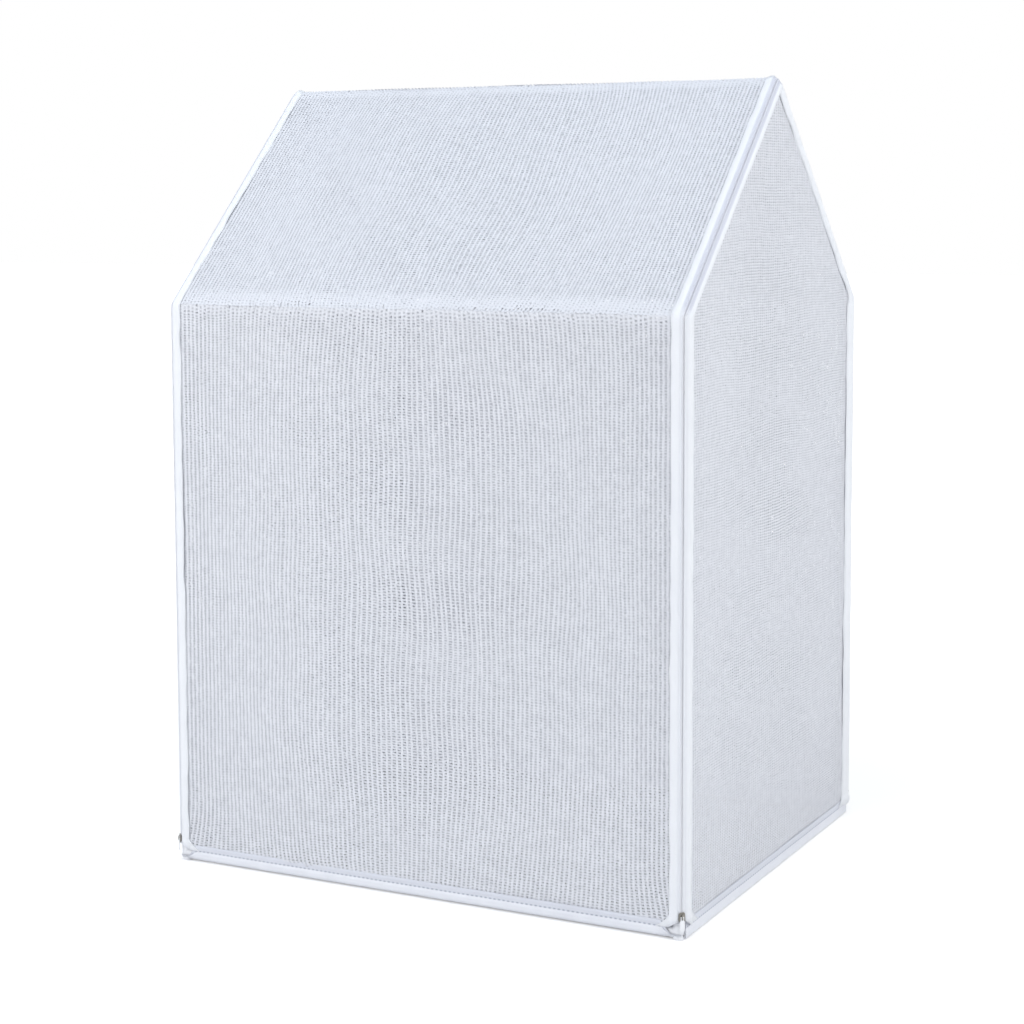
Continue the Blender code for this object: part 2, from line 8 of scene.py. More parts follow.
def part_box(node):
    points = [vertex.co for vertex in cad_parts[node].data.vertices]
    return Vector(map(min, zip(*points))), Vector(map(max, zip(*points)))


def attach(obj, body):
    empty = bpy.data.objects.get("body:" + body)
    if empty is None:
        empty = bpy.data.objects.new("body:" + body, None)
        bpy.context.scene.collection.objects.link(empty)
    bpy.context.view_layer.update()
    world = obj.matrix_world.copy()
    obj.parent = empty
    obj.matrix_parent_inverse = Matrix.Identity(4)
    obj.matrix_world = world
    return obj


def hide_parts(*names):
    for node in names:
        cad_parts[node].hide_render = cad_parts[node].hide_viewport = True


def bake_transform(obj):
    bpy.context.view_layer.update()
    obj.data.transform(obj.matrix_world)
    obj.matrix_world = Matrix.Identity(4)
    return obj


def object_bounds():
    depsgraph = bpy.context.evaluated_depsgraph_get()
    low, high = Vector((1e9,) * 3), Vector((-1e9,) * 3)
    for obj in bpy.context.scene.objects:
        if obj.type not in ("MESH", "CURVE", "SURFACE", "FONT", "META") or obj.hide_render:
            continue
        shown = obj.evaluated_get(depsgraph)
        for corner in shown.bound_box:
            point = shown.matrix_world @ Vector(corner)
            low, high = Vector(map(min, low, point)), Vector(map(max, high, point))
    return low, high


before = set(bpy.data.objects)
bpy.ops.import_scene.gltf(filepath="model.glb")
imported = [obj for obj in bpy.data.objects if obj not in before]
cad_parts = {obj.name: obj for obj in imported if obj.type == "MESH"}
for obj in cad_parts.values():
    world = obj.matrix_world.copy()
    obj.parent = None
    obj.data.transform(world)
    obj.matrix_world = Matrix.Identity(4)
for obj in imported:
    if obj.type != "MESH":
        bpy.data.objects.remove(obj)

cad_low, cad_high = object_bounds()
bpy.ops.object.select_all(action="DESELECT")


# Studio
# The camera stands a little above the eaves, in front and to the right, and looks slightly down.
# Floor and background read white to the camera, and the floor still takes the shadow.

CAMERA_PLACE = (1.8183, -3.6106, 1.2082)
CAMERA_YAW, CAMERA_TILT, CAMERA_ROLL = 27.06, -5.53, -0.20
CAMERA_LENS = 76.03
CAMERA_RISE = -0.100

camera_data = bpy.data.cameras.new("camera")
camera_data.lens = CAMERA_LENS
camera_data.shift_y = CAMERA_RISE
camera = bpy.data.objects.new("camera", camera_data)
camera.matrix_world = (Matrix.Translation(CAMERA_PLACE)
                       @ Matrix.Rotation(math.radians(CAMERA_YAW), 4, "Z")
                       @ Matrix.Rotation(math.radians(90 + CAMERA_TILT), 4, "X")
                       @ Matrix.Rotation(math.radians(CAMERA_ROLL), 4, "Z"))
bpy.context.scene.collection.objects.link(camera)
bpy.context.scene.camera = camera
bpy.context.scene.view_settings.view_transform = "Standard"


def maths(tree, operation, first, second=None, third=None):
    """A maths node on sockets or plain numbers."""
    node = tree.nodes.new("ShaderNodeMath")
    node.operation = operation
    for number, value in enumerate((first, second, third)):
        if isinstance(value, (int, float)):
            node.inputs[number].default_value = value
        elif value is not None:
            tree.links.new(value, node.inputs[number])
    return node.outputs[0]


def ranged(tree, value, start, end, low=0.0, high=1.0, kind="SMOOTHSTEP"):
    """A number that goes from low to high while the value goes from start to end."""
    node = tree.nodes.new("ShaderNodeMapRange")
    node.interpolation_type = kind
    for label, number in (("From Min", start), ("From Max", end), ("To Min", low), ("To Max", high)):
        node.inputs[label].default_value = number
    tree.links.new(value, node.inputs["Value"])
    return node.outputs[0]


def object_place(tree):
    """The place of a point of the surface, in metres."""
    return tree.nodes.new("ShaderNodeTexCoord").outputs["Object"]


def axes_of(tree, vector):
    """The X, Y and Z of a vector."""
    node = tree.nodes.new("ShaderNodeSeparateXYZ")
    tree.links.new(vector, node.inputs[0])
    return node.outputs


def finish(name, colour, roughness, second_colour=None):
    """A new material, its shader, and a mix of its two colours that is ready for a mask."""
    material = bpy.data.materials.new(name)
    material.use_nodes = True
    tree = material.node_tree
    shader = tree.nodes["Principled BSDF"]
    shader.inputs["Base Color"].default_value = (*colour, 1)
    shader.inputs["Roughness"].default_value = roughness
    if second_colour is None:
        return material, tree, shader, None
    mix = tree.nodes.new("ShaderNodeMix")
    mix.data_type = "RGBA"
    mix.inputs["A"].default_value = (*colour, 1)
    mix.inputs["B"].default_value = (*second_colour, 1)
    tree.links.new(mix.outputs["Result"], shader.inputs["Base Color"])
    return material, tree, shader, mix


def seen_directly(tree):
    """A mask that is 1 for camera, mirror and glass rays, and 0 for the rays that carry light."""
    path = tree.nodes.new("ShaderNodeLightPath")
    mirror = maths(tree, "MAXIMUM", path.outputs["Is Camera Ray"], path.outputs["Is Glossy Ray"])
    return maths(tree, "MAXIMUM", mirror, path.outputs["Is Transmission Ray"])


ROOM_COLOUR = (0.93, 0.95, 1.0, 1)
ROOM_LIGHT = 0.44
WHITE = (1, 1, 1, 1)

world = bpy.data.worlds.new("studio")
world.use_nodes = True
bpy.context.scene.world = world
tree = world.node_tree
room = tree.nodes["Background"]
room.inputs["Color"].default_value = ROOM_COLOUR
room.inputs["Strength"].default_value = ROOM_LIGHT
white = tree.nodes.new("ShaderNodeBackground")
white.inputs["Color"].default_value = WHITE
chosen = tree.nodes.new("ShaderNodeMixShader")
tree.links.new(seen_directly(tree), chosen.inputs["Fac"])
tree.links.new(room.outputs[0], chosen.inputs[1])
tree.links.new(white.outputs[0], chosen.inputs[2])
tree.links.new(chosen.outputs[0], tree.nodes["World Output"].inputs["Surface"])

# The floor glows white far from the object and less beside it, and not at all under it.
FLOOR_SIZE = 60.0
FLOOR_DROP = 0.0002
FLOOR_COLOUR = (0.80, 0.80, 0.80)
FLOOR_GLOW = 0.42
GLOW_NEAR, GLOW_FAR = 0.9, 4.0
GLOW_EDGE = 0.03

bpy.ops.mesh.primitive_plane_add(size=FLOOR_SIZE, location=(0, 0, -FLOOR_DROP))
floor = bpy.context.object
floor.name = "floor"
floor_paint, tree, shader, _ = finish("floor_paint", FLOOR_COLOUR, 0.9)
shader.inputs["Specular IOR Level"].default_value = 0.1
shader.inputs["Emission Color"].default_value = WHITE
place = object_place(tree)
spread = tree.nodes.new("ShaderNodeVectorMath")
spread.operation = "LENGTH"
tree.links.new(place, spread.inputs[0])
distance_glow = ranged(tree, spread.outputs["Value"], GLOW_NEAR, GLOW_FAR, FLOOR_GLOW, kind="LINEAR")
spot = axes_of(tree, place)
outside = [ranged(tree, maths(tree, "ABSOLUTE", spot[axis]), reach - GLOW_EDGE, reach, kind="LINEAR")
           for axis, reach in (("X", cad_high.x), ("Y", cad_high.y))]
shown = maths(tree, "MULTIPLY", maths(tree, "MAXIMUM", *outside), distance_glow)
tree.links.new(maths(tree, "MULTIPLY", seen_directly(tree), shown), shader.inputs["Emission Strength"])
floor.data.materials.append(floor_paint)

LAMPS_AIM = Vector((0, 0, 0.7))


def lamp(name, place, size, power, colour):
    """A square softbox that faces the object."""
    data = bpy.data.lights.new(name, "AREA")
    data.size = size
    data.energy = power
    data.color = colour
    light = bpy.data.objects.new(name, data)
    light.location = place
    light.rotation_euler = (LAMPS_AIM - Vector(place)).to_track_quat("-Z", "Y").to_euler()
    bpy.context.scene.collection.objects.link(light)


lamp("front_softbox", (-2.0, -4.4, 2.6), 3.0, 113, (0.975, 0.985, 1.0))
lamp("side_softbox", (4.6, -0.5, 2.4), 3.0, 103, (0.955, 0.98, 1.0))
lamp("top_softbox", (-0.5, -0.8, 5.0), 3.5, 59, (0.66, 0.82, 1.0))
lamp("back_softbox", (-1.8, 4.8, 2.0), 3.0, 38, (0.96, 0.98, 1.0))

# A faint bulb inside evens out the light behind the net. No camera sees it.
INNER_PLACE, INNER_RADIUS, INNER_POWER = (0, 0, 0.30), 0.2, 0.9
inner_bulb = bpy.data.lights.new("inner_bulb", "POINT")
inner_bulb.energy = INNER_POWER
inner_bulb.shadow_soft_size = INNER_RADIUS
inner_light = bpy.data.objects.new("inner_bulb", inner_bulb)
inner_light.location = INNER_PLACE
inner_light.visible_camera = False
bpy.context.scene.collection.objects.link(inner_light)


# Frame tubes
# Mild steel tube, 16 mm across with a 0.8 mm wall, cut square, deburred and powder coated white.
# Each end is pushed into a moulded joint until it meets the floor of its socket.

TUBE_WALL = 0.0008
TUBE_BURR = 0.00025
TUBE_SIDES = 40

post_low, post_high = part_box("post_front_right")
rail_low, rail_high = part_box("base_rail_left")
FRAME_X = (post_low.x + post_high.x) / 2
FRAME_Y = -(post_low.y + post_high.y) / 2
BASE_Z = (rail_low.z + rail_high.z) / 2
EAVE_Z = sum(corner.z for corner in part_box("eave_rail_front")) / 2
RIDGE_Z = sum(corner.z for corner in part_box("ridge_rail")) / 2
TUBE_RADIUS = (post_high.x - post_low.x) / 2
TUBE_STOP = post_low.z - BASE_Z
SIDES = {"left": -1, "right": 1}
FACES = {"front": -1, "back": 1}


def effect(name, numbers, outputs):
    """A shader node group with number inputs, and outputs given as pairs of name and socket type."""
    group = bpy.data.node_groups.new(name, "ShaderNodeTree")
    for label, value in numbers.items():
        socket = group.interface.new_socket(label, in_out="INPUT", socket_type="NodeSocketFloat")
        socket.default_value = value
    for label, kind in outputs.items():
        group.interface.new_socket(label, in_out="OUTPUT", socket_type=f"NodeSocket{kind}")
    return group, group.nodes.new("NodeGroupInput"), group.nodes.new("NodeGroupOutput")


def noise(tree, place, scale, detail):
    """The value of a noise pattern, centred on 0.5."""
    node = tree.nodes.new("ShaderNodeTexNoise")
    node.inputs["Detail"].default_value = detail
    tree.links.new(place, node.inputs["Vector"])
    if isinstance(scale, (int, float)):
        node.inputs["Scale"].default_value = scale
    else:
        tree.links.new(scale, node.inputs["Scale"])
    return node.outputs["Fac"]


# Skin of a coated, moulded or cast surface: a fine grain, and slow changes of tone and polish.
skin, given, result = effect("skin", {"Grain": 900.0, "Patches": 9.0},
                             {"Height": "Float", "Tone": "Float"})
place = object_place(skin)
skin.links.new(noise(skin, place, given.outputs["Grain"], 2.0), result.inputs["Height"])
skin.links.new(noise(skin, place, given.outputs["Patches"], 4.0), result.inputs["Tone"])


def bump(tree, shader, height, depth):
    """Raise a height pattern on the surface by a depth in metres."""
    node = tree.nodes.new("ShaderNodeBump")
    node.inputs["Distance"].default_value = depth
    tree.links.new(height, node.inputs["Height"])
    tree.links.new(node.outputs["Normal"], shader.inputs["Normal"])


def use(tree, group, **numbers):
    """A group placed in a material with its own values."""
    node = tree.nodes.new("ShaderNodeGroup")
    node.node_tree = group
    for label, value in numbers.items():
        node.inputs[label].default_value = value
    return node


def textured(name, colour, roughness, second_colour, group, depth, **pattern):
    """A material of two colours whose surface is raised by the height pattern of a group."""
    material, tree, shader, mix = finish(name, colour, roughness, second_colour)
    surface = use(tree, group, **pattern)
    bump(tree, shader, surface.outputs["Height"], depth)
    return material, tree, shader, mix, surface.outputs


def skin_finish(*values, tone, polish, **pattern):
    """A coated or moulded material that drifts between its colours, by tone, and between polishes.

    polish is the gain and the base of the roughness.
    """
    material, tree, shader, mix, surface = textured(*values, **pattern)
    tree.links.new(maths(tree, "MULTIPLY", surface["Tone"], tone), mix.inputs["Factor"])
    tree.links.new(maths(tree, "MULTIPLY_ADD", surface["Tone"], *polish), shader.inputs["Roughness"])
    return material, shader


powder_coat, shader = skin_finish(
    "powder_coat", (0.86, 0.87, 0.89), 0.34, (0.80, 0.80, 0.80), skin, 0.00006,
    Grain=1400.0, Patches=7.0, tone=0.5, polish=(0.16, 0.27))
shader.inputs["Coat Weight"].default_value = 0.15


def apply_modifiers(piece):
    """Apply every modifier of a piece, in order."""
    bpy.context.view_layer.objects.active = piece
    for name in [modifier.name for modifier in piece.modifiers]:
        bpy.ops.object.modifier_apply(modifier=name)


def dress(piece, material, sharp, body, node):
    """Shade and paint a finished piece, and let it ride on a body in the place of its node."""
    bpy.ops.object.shade_smooth_by_angle(angle=math.radians(sharp))
    piece.data.materials.append(material)
    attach(piece, body)
    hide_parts(node)
    piece.select_set(False)


def round_edges(piece, name, width, sharp):
    """Round the edges of a piece that are sharper than an angle in degrees."""
    edge = piece.modifiers.new(name, "BEVEL")
    edge.width = width
    edge.segments = 2
    edge.limit_method = "ANGLE"
    edge.angle_limit = math.radians(sharp)


def add_tube(name, start, end):
    """A tube between the centres of two joints."""
    way = end - start
    bpy.ops.mesh.primitive_cylinder_add(
        vertices=TUBE_SIDES, radius=TUBE_RADIUS, depth=way.length - 2 * TUBE_STOP,
        end_fill_type="NOTHING", location=(start + end) / 2,
        rotation=way.to_track_quat("Z", "Y").to_euler())
    piece = bpy.context.object
    piece.name = f"{name}_tube"
    wall = piece.modifiers.new("wall", "SOLIDIFY")
    wall.thickness = TUBE_WALL
    wall.offset = -1
    round_edges(piece, "burr", TUBE_BURR, 50)
    apply_modifiers(piece)
    bpy.ops.object.transform_apply(location=True, rotation=True, scale=True)
    dress(piece, powder_coat, 40, "root", name)


for side_name, side in SIDES.items():
    ridge_end = Vector((side * FRAME_X, 0, RIDGE_Z))
    for face_name, face in FACES.items():
        base = Vector((side * FRAME_X, face * FRAME_Y, BASE_Z))
        eave = Vector((side * FRAME_X, face * FRAME_Y, EAVE_Z))
        add_tube(f"post_{face_name}_{side_name}", base, eave)
        add_tube(f"rafter_{face_name}_{side_name}", eave, ridge_end)
    front_base = Vector((side * FRAME_X, -FRAME_Y, BASE_Z))
    add_tube(f"base_rail_{side_name}", front_base, front_base + Vector((0, 2 * FRAME_Y, 0)))
for face_name, face in FACES.items():
    for level, height in (("base", BASE_Z), ("eave", EAVE_Z)):
        start = Vector((-FRAME_X, face * FRAME_Y, height))
        add_tube(f"{level}_rail_{face_name}", start, start + Vector((2 * FRAME_X, 0, 0)))
add_tube("ridge_rail", Vector((-FRAME_X, 0, RIDGE_Z)), Vector((FRAME_X, 0, RIDGE_Z)))


# Moulded joints
# Polypropylene, injection moulded in white: a round hub with a blind socket for each tube, a lip
# at each mouth and a web in each angle. The four at the ground stand on a foot.

JOINT_ROUNDING = 0.0005
SAME_POINT = 0.000002
SAME_PLANE = math.radians(1.0)

moulding, _ = skin_finish(
    "moulded_polypropylene", (0.90, 0.905, 0.93), 0.42, (0.82, 0.825, 0.85), skin, 0.00004,
    Grain=1100.0, Patches=14.0, tone=0.7, polish=(0.20, 0.33))


def bench_copy(name, node, rounding):
    """A copy of a solid with its points merged, its flats made whole and its edges rounded."""
    piece = bpy.data.objects.new(name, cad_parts[node].data.copy())
    piece.data.materials.clear()
    bpy.context.scene.collection.objects.link(piece)
    piece.select_set(True)
    bpy.context.view_layer.objects.active = piece
    bpy.ops.object.mode_set(mode="EDIT")
    bpy.ops.mesh.select_all(action="SELECT")
    bpy.ops.mesh.remove_doubles(threshold=SAME_POINT)
    bpy.ops.mesh.dissolve_limited(angle_limit=SAME_PLANE)
    bpy.ops.object.mode_set(mode="OBJECT")
    round_edges(piece, "edge", rounding, 32)
    return piece


joint_names = [f"ridge_joint_{side_name}" for side_name in SIDES]
for level in ("base_corner", "eave_joint"):
    joint_names += [f"{level}_{face_name}_{side_name}" for face_name in FACES for side_name in SIDES]
for joint_name in joint_names:
    joint = bench_copy(f"{joint_name}_moulding", joint_name, JOINT_ROUNDING)
    apply_modifiers(joint)
    dress(joint, moulding, 38, "root", joint_name)


# Cover net
# White polyester yarn knitted on a raschel machine: pillars of chain stitch, the wales, and laid-in
# threads between them, the courses. One strip runs up the front, over the roof and down the back,
# with its wales along the run. The end nets hang with their wales upright.

NET_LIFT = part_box("gable_net_right")[1].x - FRAME_X
HEM_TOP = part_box("wall_net_front")[0].z
SLOPE = math.atan2(RIDGE_Z - EAVE_Z, FRAME_Y)
ROOF_LENGTH = math.hypot(RIDGE_Z - EAVE_Z, FRAME_Y)
EAVE_EASE = 0.012
RIDGE_EASE = 0.010
WALL_PITCH, ROOF_PITCH = 0.0087, 0.0074
WALE_SHARE = 0.51
WALE_HEIGHT = 0.0005
COURSE_PITCH = 0.0048
COURSE_SHARE = {"front": 0.915, "right": 0.90, "left": 0.91, "back": 0.94}
COURSE_HEIGHT = 0.0003
THREAD_TUCK, THREAD_SINK = 0.7, 0.0001
NET_SAG = 0.006

# Unevenness of the net. A drift has the length of its waves and its amount, and a stray is the
# spread of single stitches, wales or rows. The wales crowd a little towards the sides, the threads
# there are tighter, and the lower corners are drawn out to the posts.
CROWDING = 0.029
WALE_DRIFT, COURSE_DRIFT, SLACK_DRIFT = (0.26, 0.0048), (0.20, 0.0030), (0.45, 0.0010)
STITCH_STRAY, WALE_STRAY, ROW_STRAY = 0.00032, 0.00045, 0.00016
WALE_UNEVEN, COURSE_UNEVEN = 0.10, 0.07
THREAD_STRAY = {"front": 0.00025, "right": 0.00025, "left": 0.0005, "back": 0.0003}
COLUMN_SHIFT = {"front": 0.0012, "right": 0.0003, "left": 0.0003, "back": 0.0012}
ZIGZAG = {"front": 0.00045, "right": 0.0002, "left": 0.0002, "back": 0.0002}
TIGHT_EDGE, TIGHT_LOSS = 0.10, 0.12
WAVES, WAVE_SPREAD = 7, (0.6, 1.7)
CORNER_DRAW, DRAW_WIDTH, DRAW_HEIGHT, DRAW_POWER = 0.018, 0.13, 0.085, 1.6


def wander(u, v, seed, length, amount):
    """A gentle random drift over a panel: a few crossing waves of about one length."""
    dice = np.random.default_rng(seed)
    drift = np.zeros_like(u)
    for _ in range(WAVES):
        turn, start = dice.uniform(0, 2 * math.pi, 2)
        size = length * dice.uniform(*WAVE_SPREAD)
        drift += np.sin(2 * math.pi * (u * math.cos(turn) + v * math.sin(turn)) / size + start)
    return amount * drift / math.sqrt(WAVES)


def run_point(along, lift):
    """Distance from the middle and height on the cover's run, lift out from the tubes' centre line.

    along is the length from the eave: down the wall below 0, and up the roof to its length.
    """
    eave_share = np.clip((along + EAVE_EASE) / (2 * EAVE_EASE), 0, 1)
    ridge_share = np.clip((along - ROOF_LENGTH + RIDGE_EASE) / RIDGE_EASE, 0, 1)
    facing = (math.pi / 2 - SLOPE) * eave_share + SLOPE * ridge_share
    climb = np.clip(along, 0, ROOF_LENGTH)
    distance = FRAME_Y - climb * math.cos(SLOPE) + lift * np.cos(facing)
    height = EAVE_Z + np.minimum(along, 0) + climb * math.sin(SLOPE) + lift * np.sin(facing)
    return distance, height


def mesh_piece(name, points, faces, uv=None):
    """A smooth mesh from points and arrays of faces, without the points that no face uses."""
    used, corners = np.unique(np.concatenate([part.ravel() for part in faces]), return_inverse=True)
    sizes = np.concatenate([np.full(len(part), part.shape[1], np.int32) for part in faces])
    mesh = bpy.data.meshes.new(name)
    mesh.vertices.add(len(used))
    mesh.vertices.foreach_set("co", np.asarray(points, np.float32)[used].ravel())
    mesh.loops.add(len(corners))
    mesh.loops.foreach_set("vertex_index", corners.astype(np.int32))
    mesh.polygons.add(len(sizes))
    mesh.polygons.foreach_set("loop_start", (np.cumsum(sizes) - sizes).astype(np.int32))
    mesh.polygons.foreach_set("loop_total", sizes)
    if uv is not None:
        layer = mesh.uv_layers.new(name="run")
        layer.data.foreach_set("uv", np.asarray(uv, np.float32)[used][corners].ravel())
    mesh.update(calc_edges=True)
    mesh.shade_smooth()
    piece = bpy.data.objects.new(name, mesh)
    bpy.context.scene.collection.objects.link(piece)
    return piece


def stitch_grid(width, height, pitch, draw, seed, dice):
    """Where each wale meets each course: places across and up a panel, and how far they stand out."""
    wales, courses = round(width / pitch), round(height / COURSE_PITCH)
    across = (np.arange(wales + 1) / wales - 0.5) * width
    up = np.arange(courses + 1) / courses * height
    u0, v0 = np.meshgrid(across, up, indexing="ij")
    edge_free = np.cos(math.pi * u0 / width) * np.sin(math.pi * np.clip(v0 / height, 0, 1)) ** 0.5
    u = u0 + CROWDING * np.sin(2 * math.pi * u0 / width) * edge_free
    u += wander(u0, v0, seed + 1, *WALE_DRIFT) * edge_free + dice.normal(0, STITCH_STRAY, u.shape)
    u += dice.normal(0, WALE_STRAY, (wales + 1, 1)) * edge_free
    v = v0 + wander(u0, v0, seed + 2, *COURSE_DRIFT) * edge_free + dice.normal(0, ROW_STRAY, v0.shape)
    near_side = np.clip(1 - (width / 2 - np.abs(u0)) / DRAW_WIDTH, 0, 1)
    u += draw * np.sign(u0) * near_side * np.clip(1 - v0 / DRAW_HEIGHT, 0, 1) ** DRAW_POWER
    return u, v, wander(u0, v0, seed + 3, *SLACK_DRIFT)


def knit(name, width, height, pitch, draw, face_name, place, inside, seed):
    """A knitted panel with a pitch of its wales, drawn out towards its lower corners.

    place(u, v, lift) gives the points, and inside(u, v) says what is kept. Wales and threads are
    each two strips wide, with a raised middle.
    """
    dice = np.random.default_rng(seed)
    u, v, slack = stitch_grid(width, height, pitch, draw, seed, dice)
    half_wale = pitch * WALE_SHARE / 2
    half = half_wale * (1 + dice.normal(0, WALE_UNEVEN, u.shape))
    counted = np.broadcast_to(np.arange(u.shape[1]) * COURSE_PITCH, u.shape)
    points, uvs, faces = [], [], []
    for edge, lift in ((-1, 0.0), (0, WALE_HEIGHT), (1, 0.0)):
        points.append(place(u + edge * half, v, slack + lift).reshape(-1, 3))
        uvs.append(np.stack([np.full(u.size, (edge + 1) / 2), counted.ravel()], 1))
    kept = inside(u[:, :-1], (v[:, :-1] + v[:, 1:]) / 2)
    stitches_kept = np.arange(u.size).reshape(u.shape)[:, :-1][kept]
    for first in (stitches_kept, stitches_kept + u.size):
        faces.append(np.stack([first, first + u.size, first + u.size + 1, first + 1], 1))

    left_u, right_u = u[:-1, :-1], u[1:, :-1]
    cells = left_u.size
    shift = dice.normal(0, COLUMN_SHIFT[face_name], (len(left_u), 1))
    turn = ZIGZAG[face_name] * (-1.0) ** np.arange(left_u.shape[1])
    stray = THREAD_STRAY[face_name]
    near = (v[:-1, :-1] + v[:-1, 1:]) / 2 + shift + turn + dice.normal(0, stray, left_u.shape)
    far = (v[1:, :-1] + v[1:, 1:]) / 2 + shift - turn + dice.normal(0, stray, left_u.shape)
    wide = COURSE_PITCH * COURSE_SHARE[face_name] / 2 * (1 + dice.normal(0, COURSE_UNEVEN, left_u.shape))
    wide *= 1 - TIGHT_LOSS * np.clip(1 - (width / 2 - np.abs(left_u)) / TIGHT_EDGE, 0, 1)
    tuck = half_wale * THREAD_TUCK
    sunk = slack[:-1, :-1] - THREAD_SINK
    for edge, lift in ((-1, 0.0), (0, COURSE_HEIGHT), (1, 0.0)):
        for side_u, side_v in ((left_u + tuck, near), (right_u - tuck, far)):
            points.append(place(side_u, side_v + edge * wide, sunk + lift).reshape(-1, 3))
            uvs.append(np.stack([np.full(cells, 2 + (edge + 1) / 2), side_u.ravel()], 1))
    threads_kept = 3 * u.size + np.flatnonzero(inside(left_u, near) & inside(right_u, far))
    for first in (threads_kept, threads_kept + 2 * cells):
        faces.append(np.stack([first, first + cells, first + 3 * cells, first + 2 * cells], 1))
    return mesh_piece(name, np.concatenate(points), faces, np.concatenate(uvs))


def run_map(tree):
    """Across (X) and along (Y) a yarn, strip or tape, from the piece's own map."""
    node = tree.nodes.new("ShaderNodeUVMap")
    node.uv_map = "run"
    return axes_of(tree, node.outputs["UV"])


# Lay of the yarn: plied filaments that run slantwise over a thread, read from the map of its run.
twist, given, result = effect("twist", {"Turns": 700.0}, {"Height": "Float"})
run = run_map(twist)
lay = maths(twist, "MULTIPLY", run["Y"], given.outputs["Turns"])
lay = maths(twist, "ADD", lay, maths(twist, "MULTIPLY", run["X"], 4.0))
twist.links.new(maths(twist, "SINE", lay), result.inputs["Height"])


def mottle(tree, place, scale, detail, gain, base):
    """A noise pattern as a tone: its value times a gain, on a base."""
    return maths(tree, "MULTIPLY_ADD", noise(tree, place, scale, detail), gain, base)


# Powers of the yarn's painted shade: how it spreads from a thread's middle to its edges, and towards a
# loop's end.
EDGE_POWER, LOOP_POWER = 1.8, 1.5


def yarn_shade_and_tone(tree, loop_painted_shade, thread_grey_and_shade, edge_painted_shade):
    """How dark the yarn is, mostly painted shade: at the ends of a wale's loops and along a laid-in
    thread's edges, where the stitches shade each other and the gaps between threads would show dark,
    and a laid-in thread greyer, as it is thinner and lies in the wales' shade. Clouds of random tone
    come on top.

    The map's X is 0 to 1 across a wale, and 2 to 3 across a laid-in thread.
    """
    run = run_map(tree)
    laid_in = maths(tree, "GREATER_THAN", run["X"], 1.5)
    place = object_place(tree)
    cloud = mottle(tree, place, scale=60.0, detail=2.0, gain=0.3, base=-0.08)
    grain = mottle(tree, place, scale=400.0, detail=1.0, gain=0.24, base=-0.12)
    uneven = mottle(tree, place, scale=130.0, detail=1.0, gain=1.2, base=0.4)
    edge = maths(tree, "ABSOLUTE", maths(tree, "MULTIPLY_ADD", run["X"], 2.0, -5.0))
    edge = maths(tree, "MULTIPLY", maths(tree, "POWER", edge, EDGE_POWER), uneven)
    on_thread = maths(tree, "MULTIPLY_ADD", edge, edge_painted_shade, thread_grey_and_shade)
    turns = maths(tree, "MULTIPLY", run["Y"], math.pi / COURSE_PITCH)
    loop = maths(tree, "ABSOLUTE", maths(tree, "SINE", turns))
    loop_end = maths(tree, "POWER", maths(tree, "SUBTRACT", 1.0, loop), LOOP_POWER)
    on_wale = maths(tree, "MULTIPLY", maths(tree, "MULTIPLY", loop_end, uneven), loop_painted_shade)
    on_thread = maths(tree, "MULTIPLY", laid_in, on_thread)
    on_wale = maths(tree, "MULTIPLY", maths(tree, "SUBTRACT", 1.0, laid_in), on_wale)
    both = maths(tree, "ADD", on_thread, on_wale)
    return place, maths(tree, "MAXIMUM", maths(tree, "ADD", both, maths(tree, "ADD", cloud, grain)), 0.0)


def let_light_through(tree, shader, mix, share):
    """Let a share of the light that falls on a thin cloth pass through to its other side."""
    passed = tree.nodes.new("ShaderNodeBsdfTranslucent")
    tree.links.new(mix.outputs["Result"], passed.inputs["Color"])
    both = tree.nodes.new("ShaderNodeMixShader")
    both.inputs["Fac"].default_value = share
    tree.links.new(shader.outputs[0], both.inputs[1])
    tree.links.new(passed.outputs[0], both.inputs[2])
    tree.links.new(both.outputs[0], tree.nodes["Material Output"].inputs["Surface"])


def net_finish(name, loop_painted_shade, thread_grey_and_shade, edge_painted_shade):
    """Polyester yarn of a net, with its tone still free to link. Its darker second colour is where the
    yarn's painted shade and its random clouds lead.
    """
    material, tree, shader, mix, _ = textured(
        name, (0.873, 0.88, 0.918), 0.72, (0.35, 0.36, 0.393), twist, 0.00012, Turns=1300.0)
    shader.inputs["Sheen Weight"].default_value = 0.15
    let_light_through(tree, shader, mix, 0.10)
    return material, tree, mix, *yarn_shade_and_tone(tree, loop_painted_shade, thread_grey_and_shade, edge_painted_shade)


# Where the roof's net lies on an eave rail or the ridge rail, the yarn's painted shade is cut back, so
# that the net is painted paler there, as if the white tube behind it filled its gaps.
EAVE_BAND, RIDGE_BAND = (0.008, 0.034), (0.014, 0.024)
BAND_RISE, BAND_SETBACK = 0.010, 0.006
BAND_SHADE_KEPT = 0.35

net_yarn, tree, mix, place, tone = net_finish("net_yarn", 0.10, 0.05, 0.85)
spot = axes_of(tree, place)
for rail_y, rail_z, band in ((FRAME_Y - BAND_SETBACK, EAVE_Z + BAND_RISE, EAVE_BAND),
                             (0, RIDGE_Z, RIDGE_BAND)):
    behind = maths(tree, "SUBTRACT", maths(tree, "ABSOLUTE", spot["Y"]), rail_y)
    above = maths(tree, "SUBTRACT", spot["Z"], rail_z)
    squares = [maths(tree, "POWER", maths(tree, "ABSOLUTE", gap), 2.0) for gap in (behind, above)]
    away = maths(tree, "SQRT", maths(tree, "ADD", *squares))
    tone = maths(tree, "MULTIPLY", tone, ranged(tree, away, *band, low=BAND_SHADE_KEPT))
tree.links.new(tone, mix.inputs["Factor"])

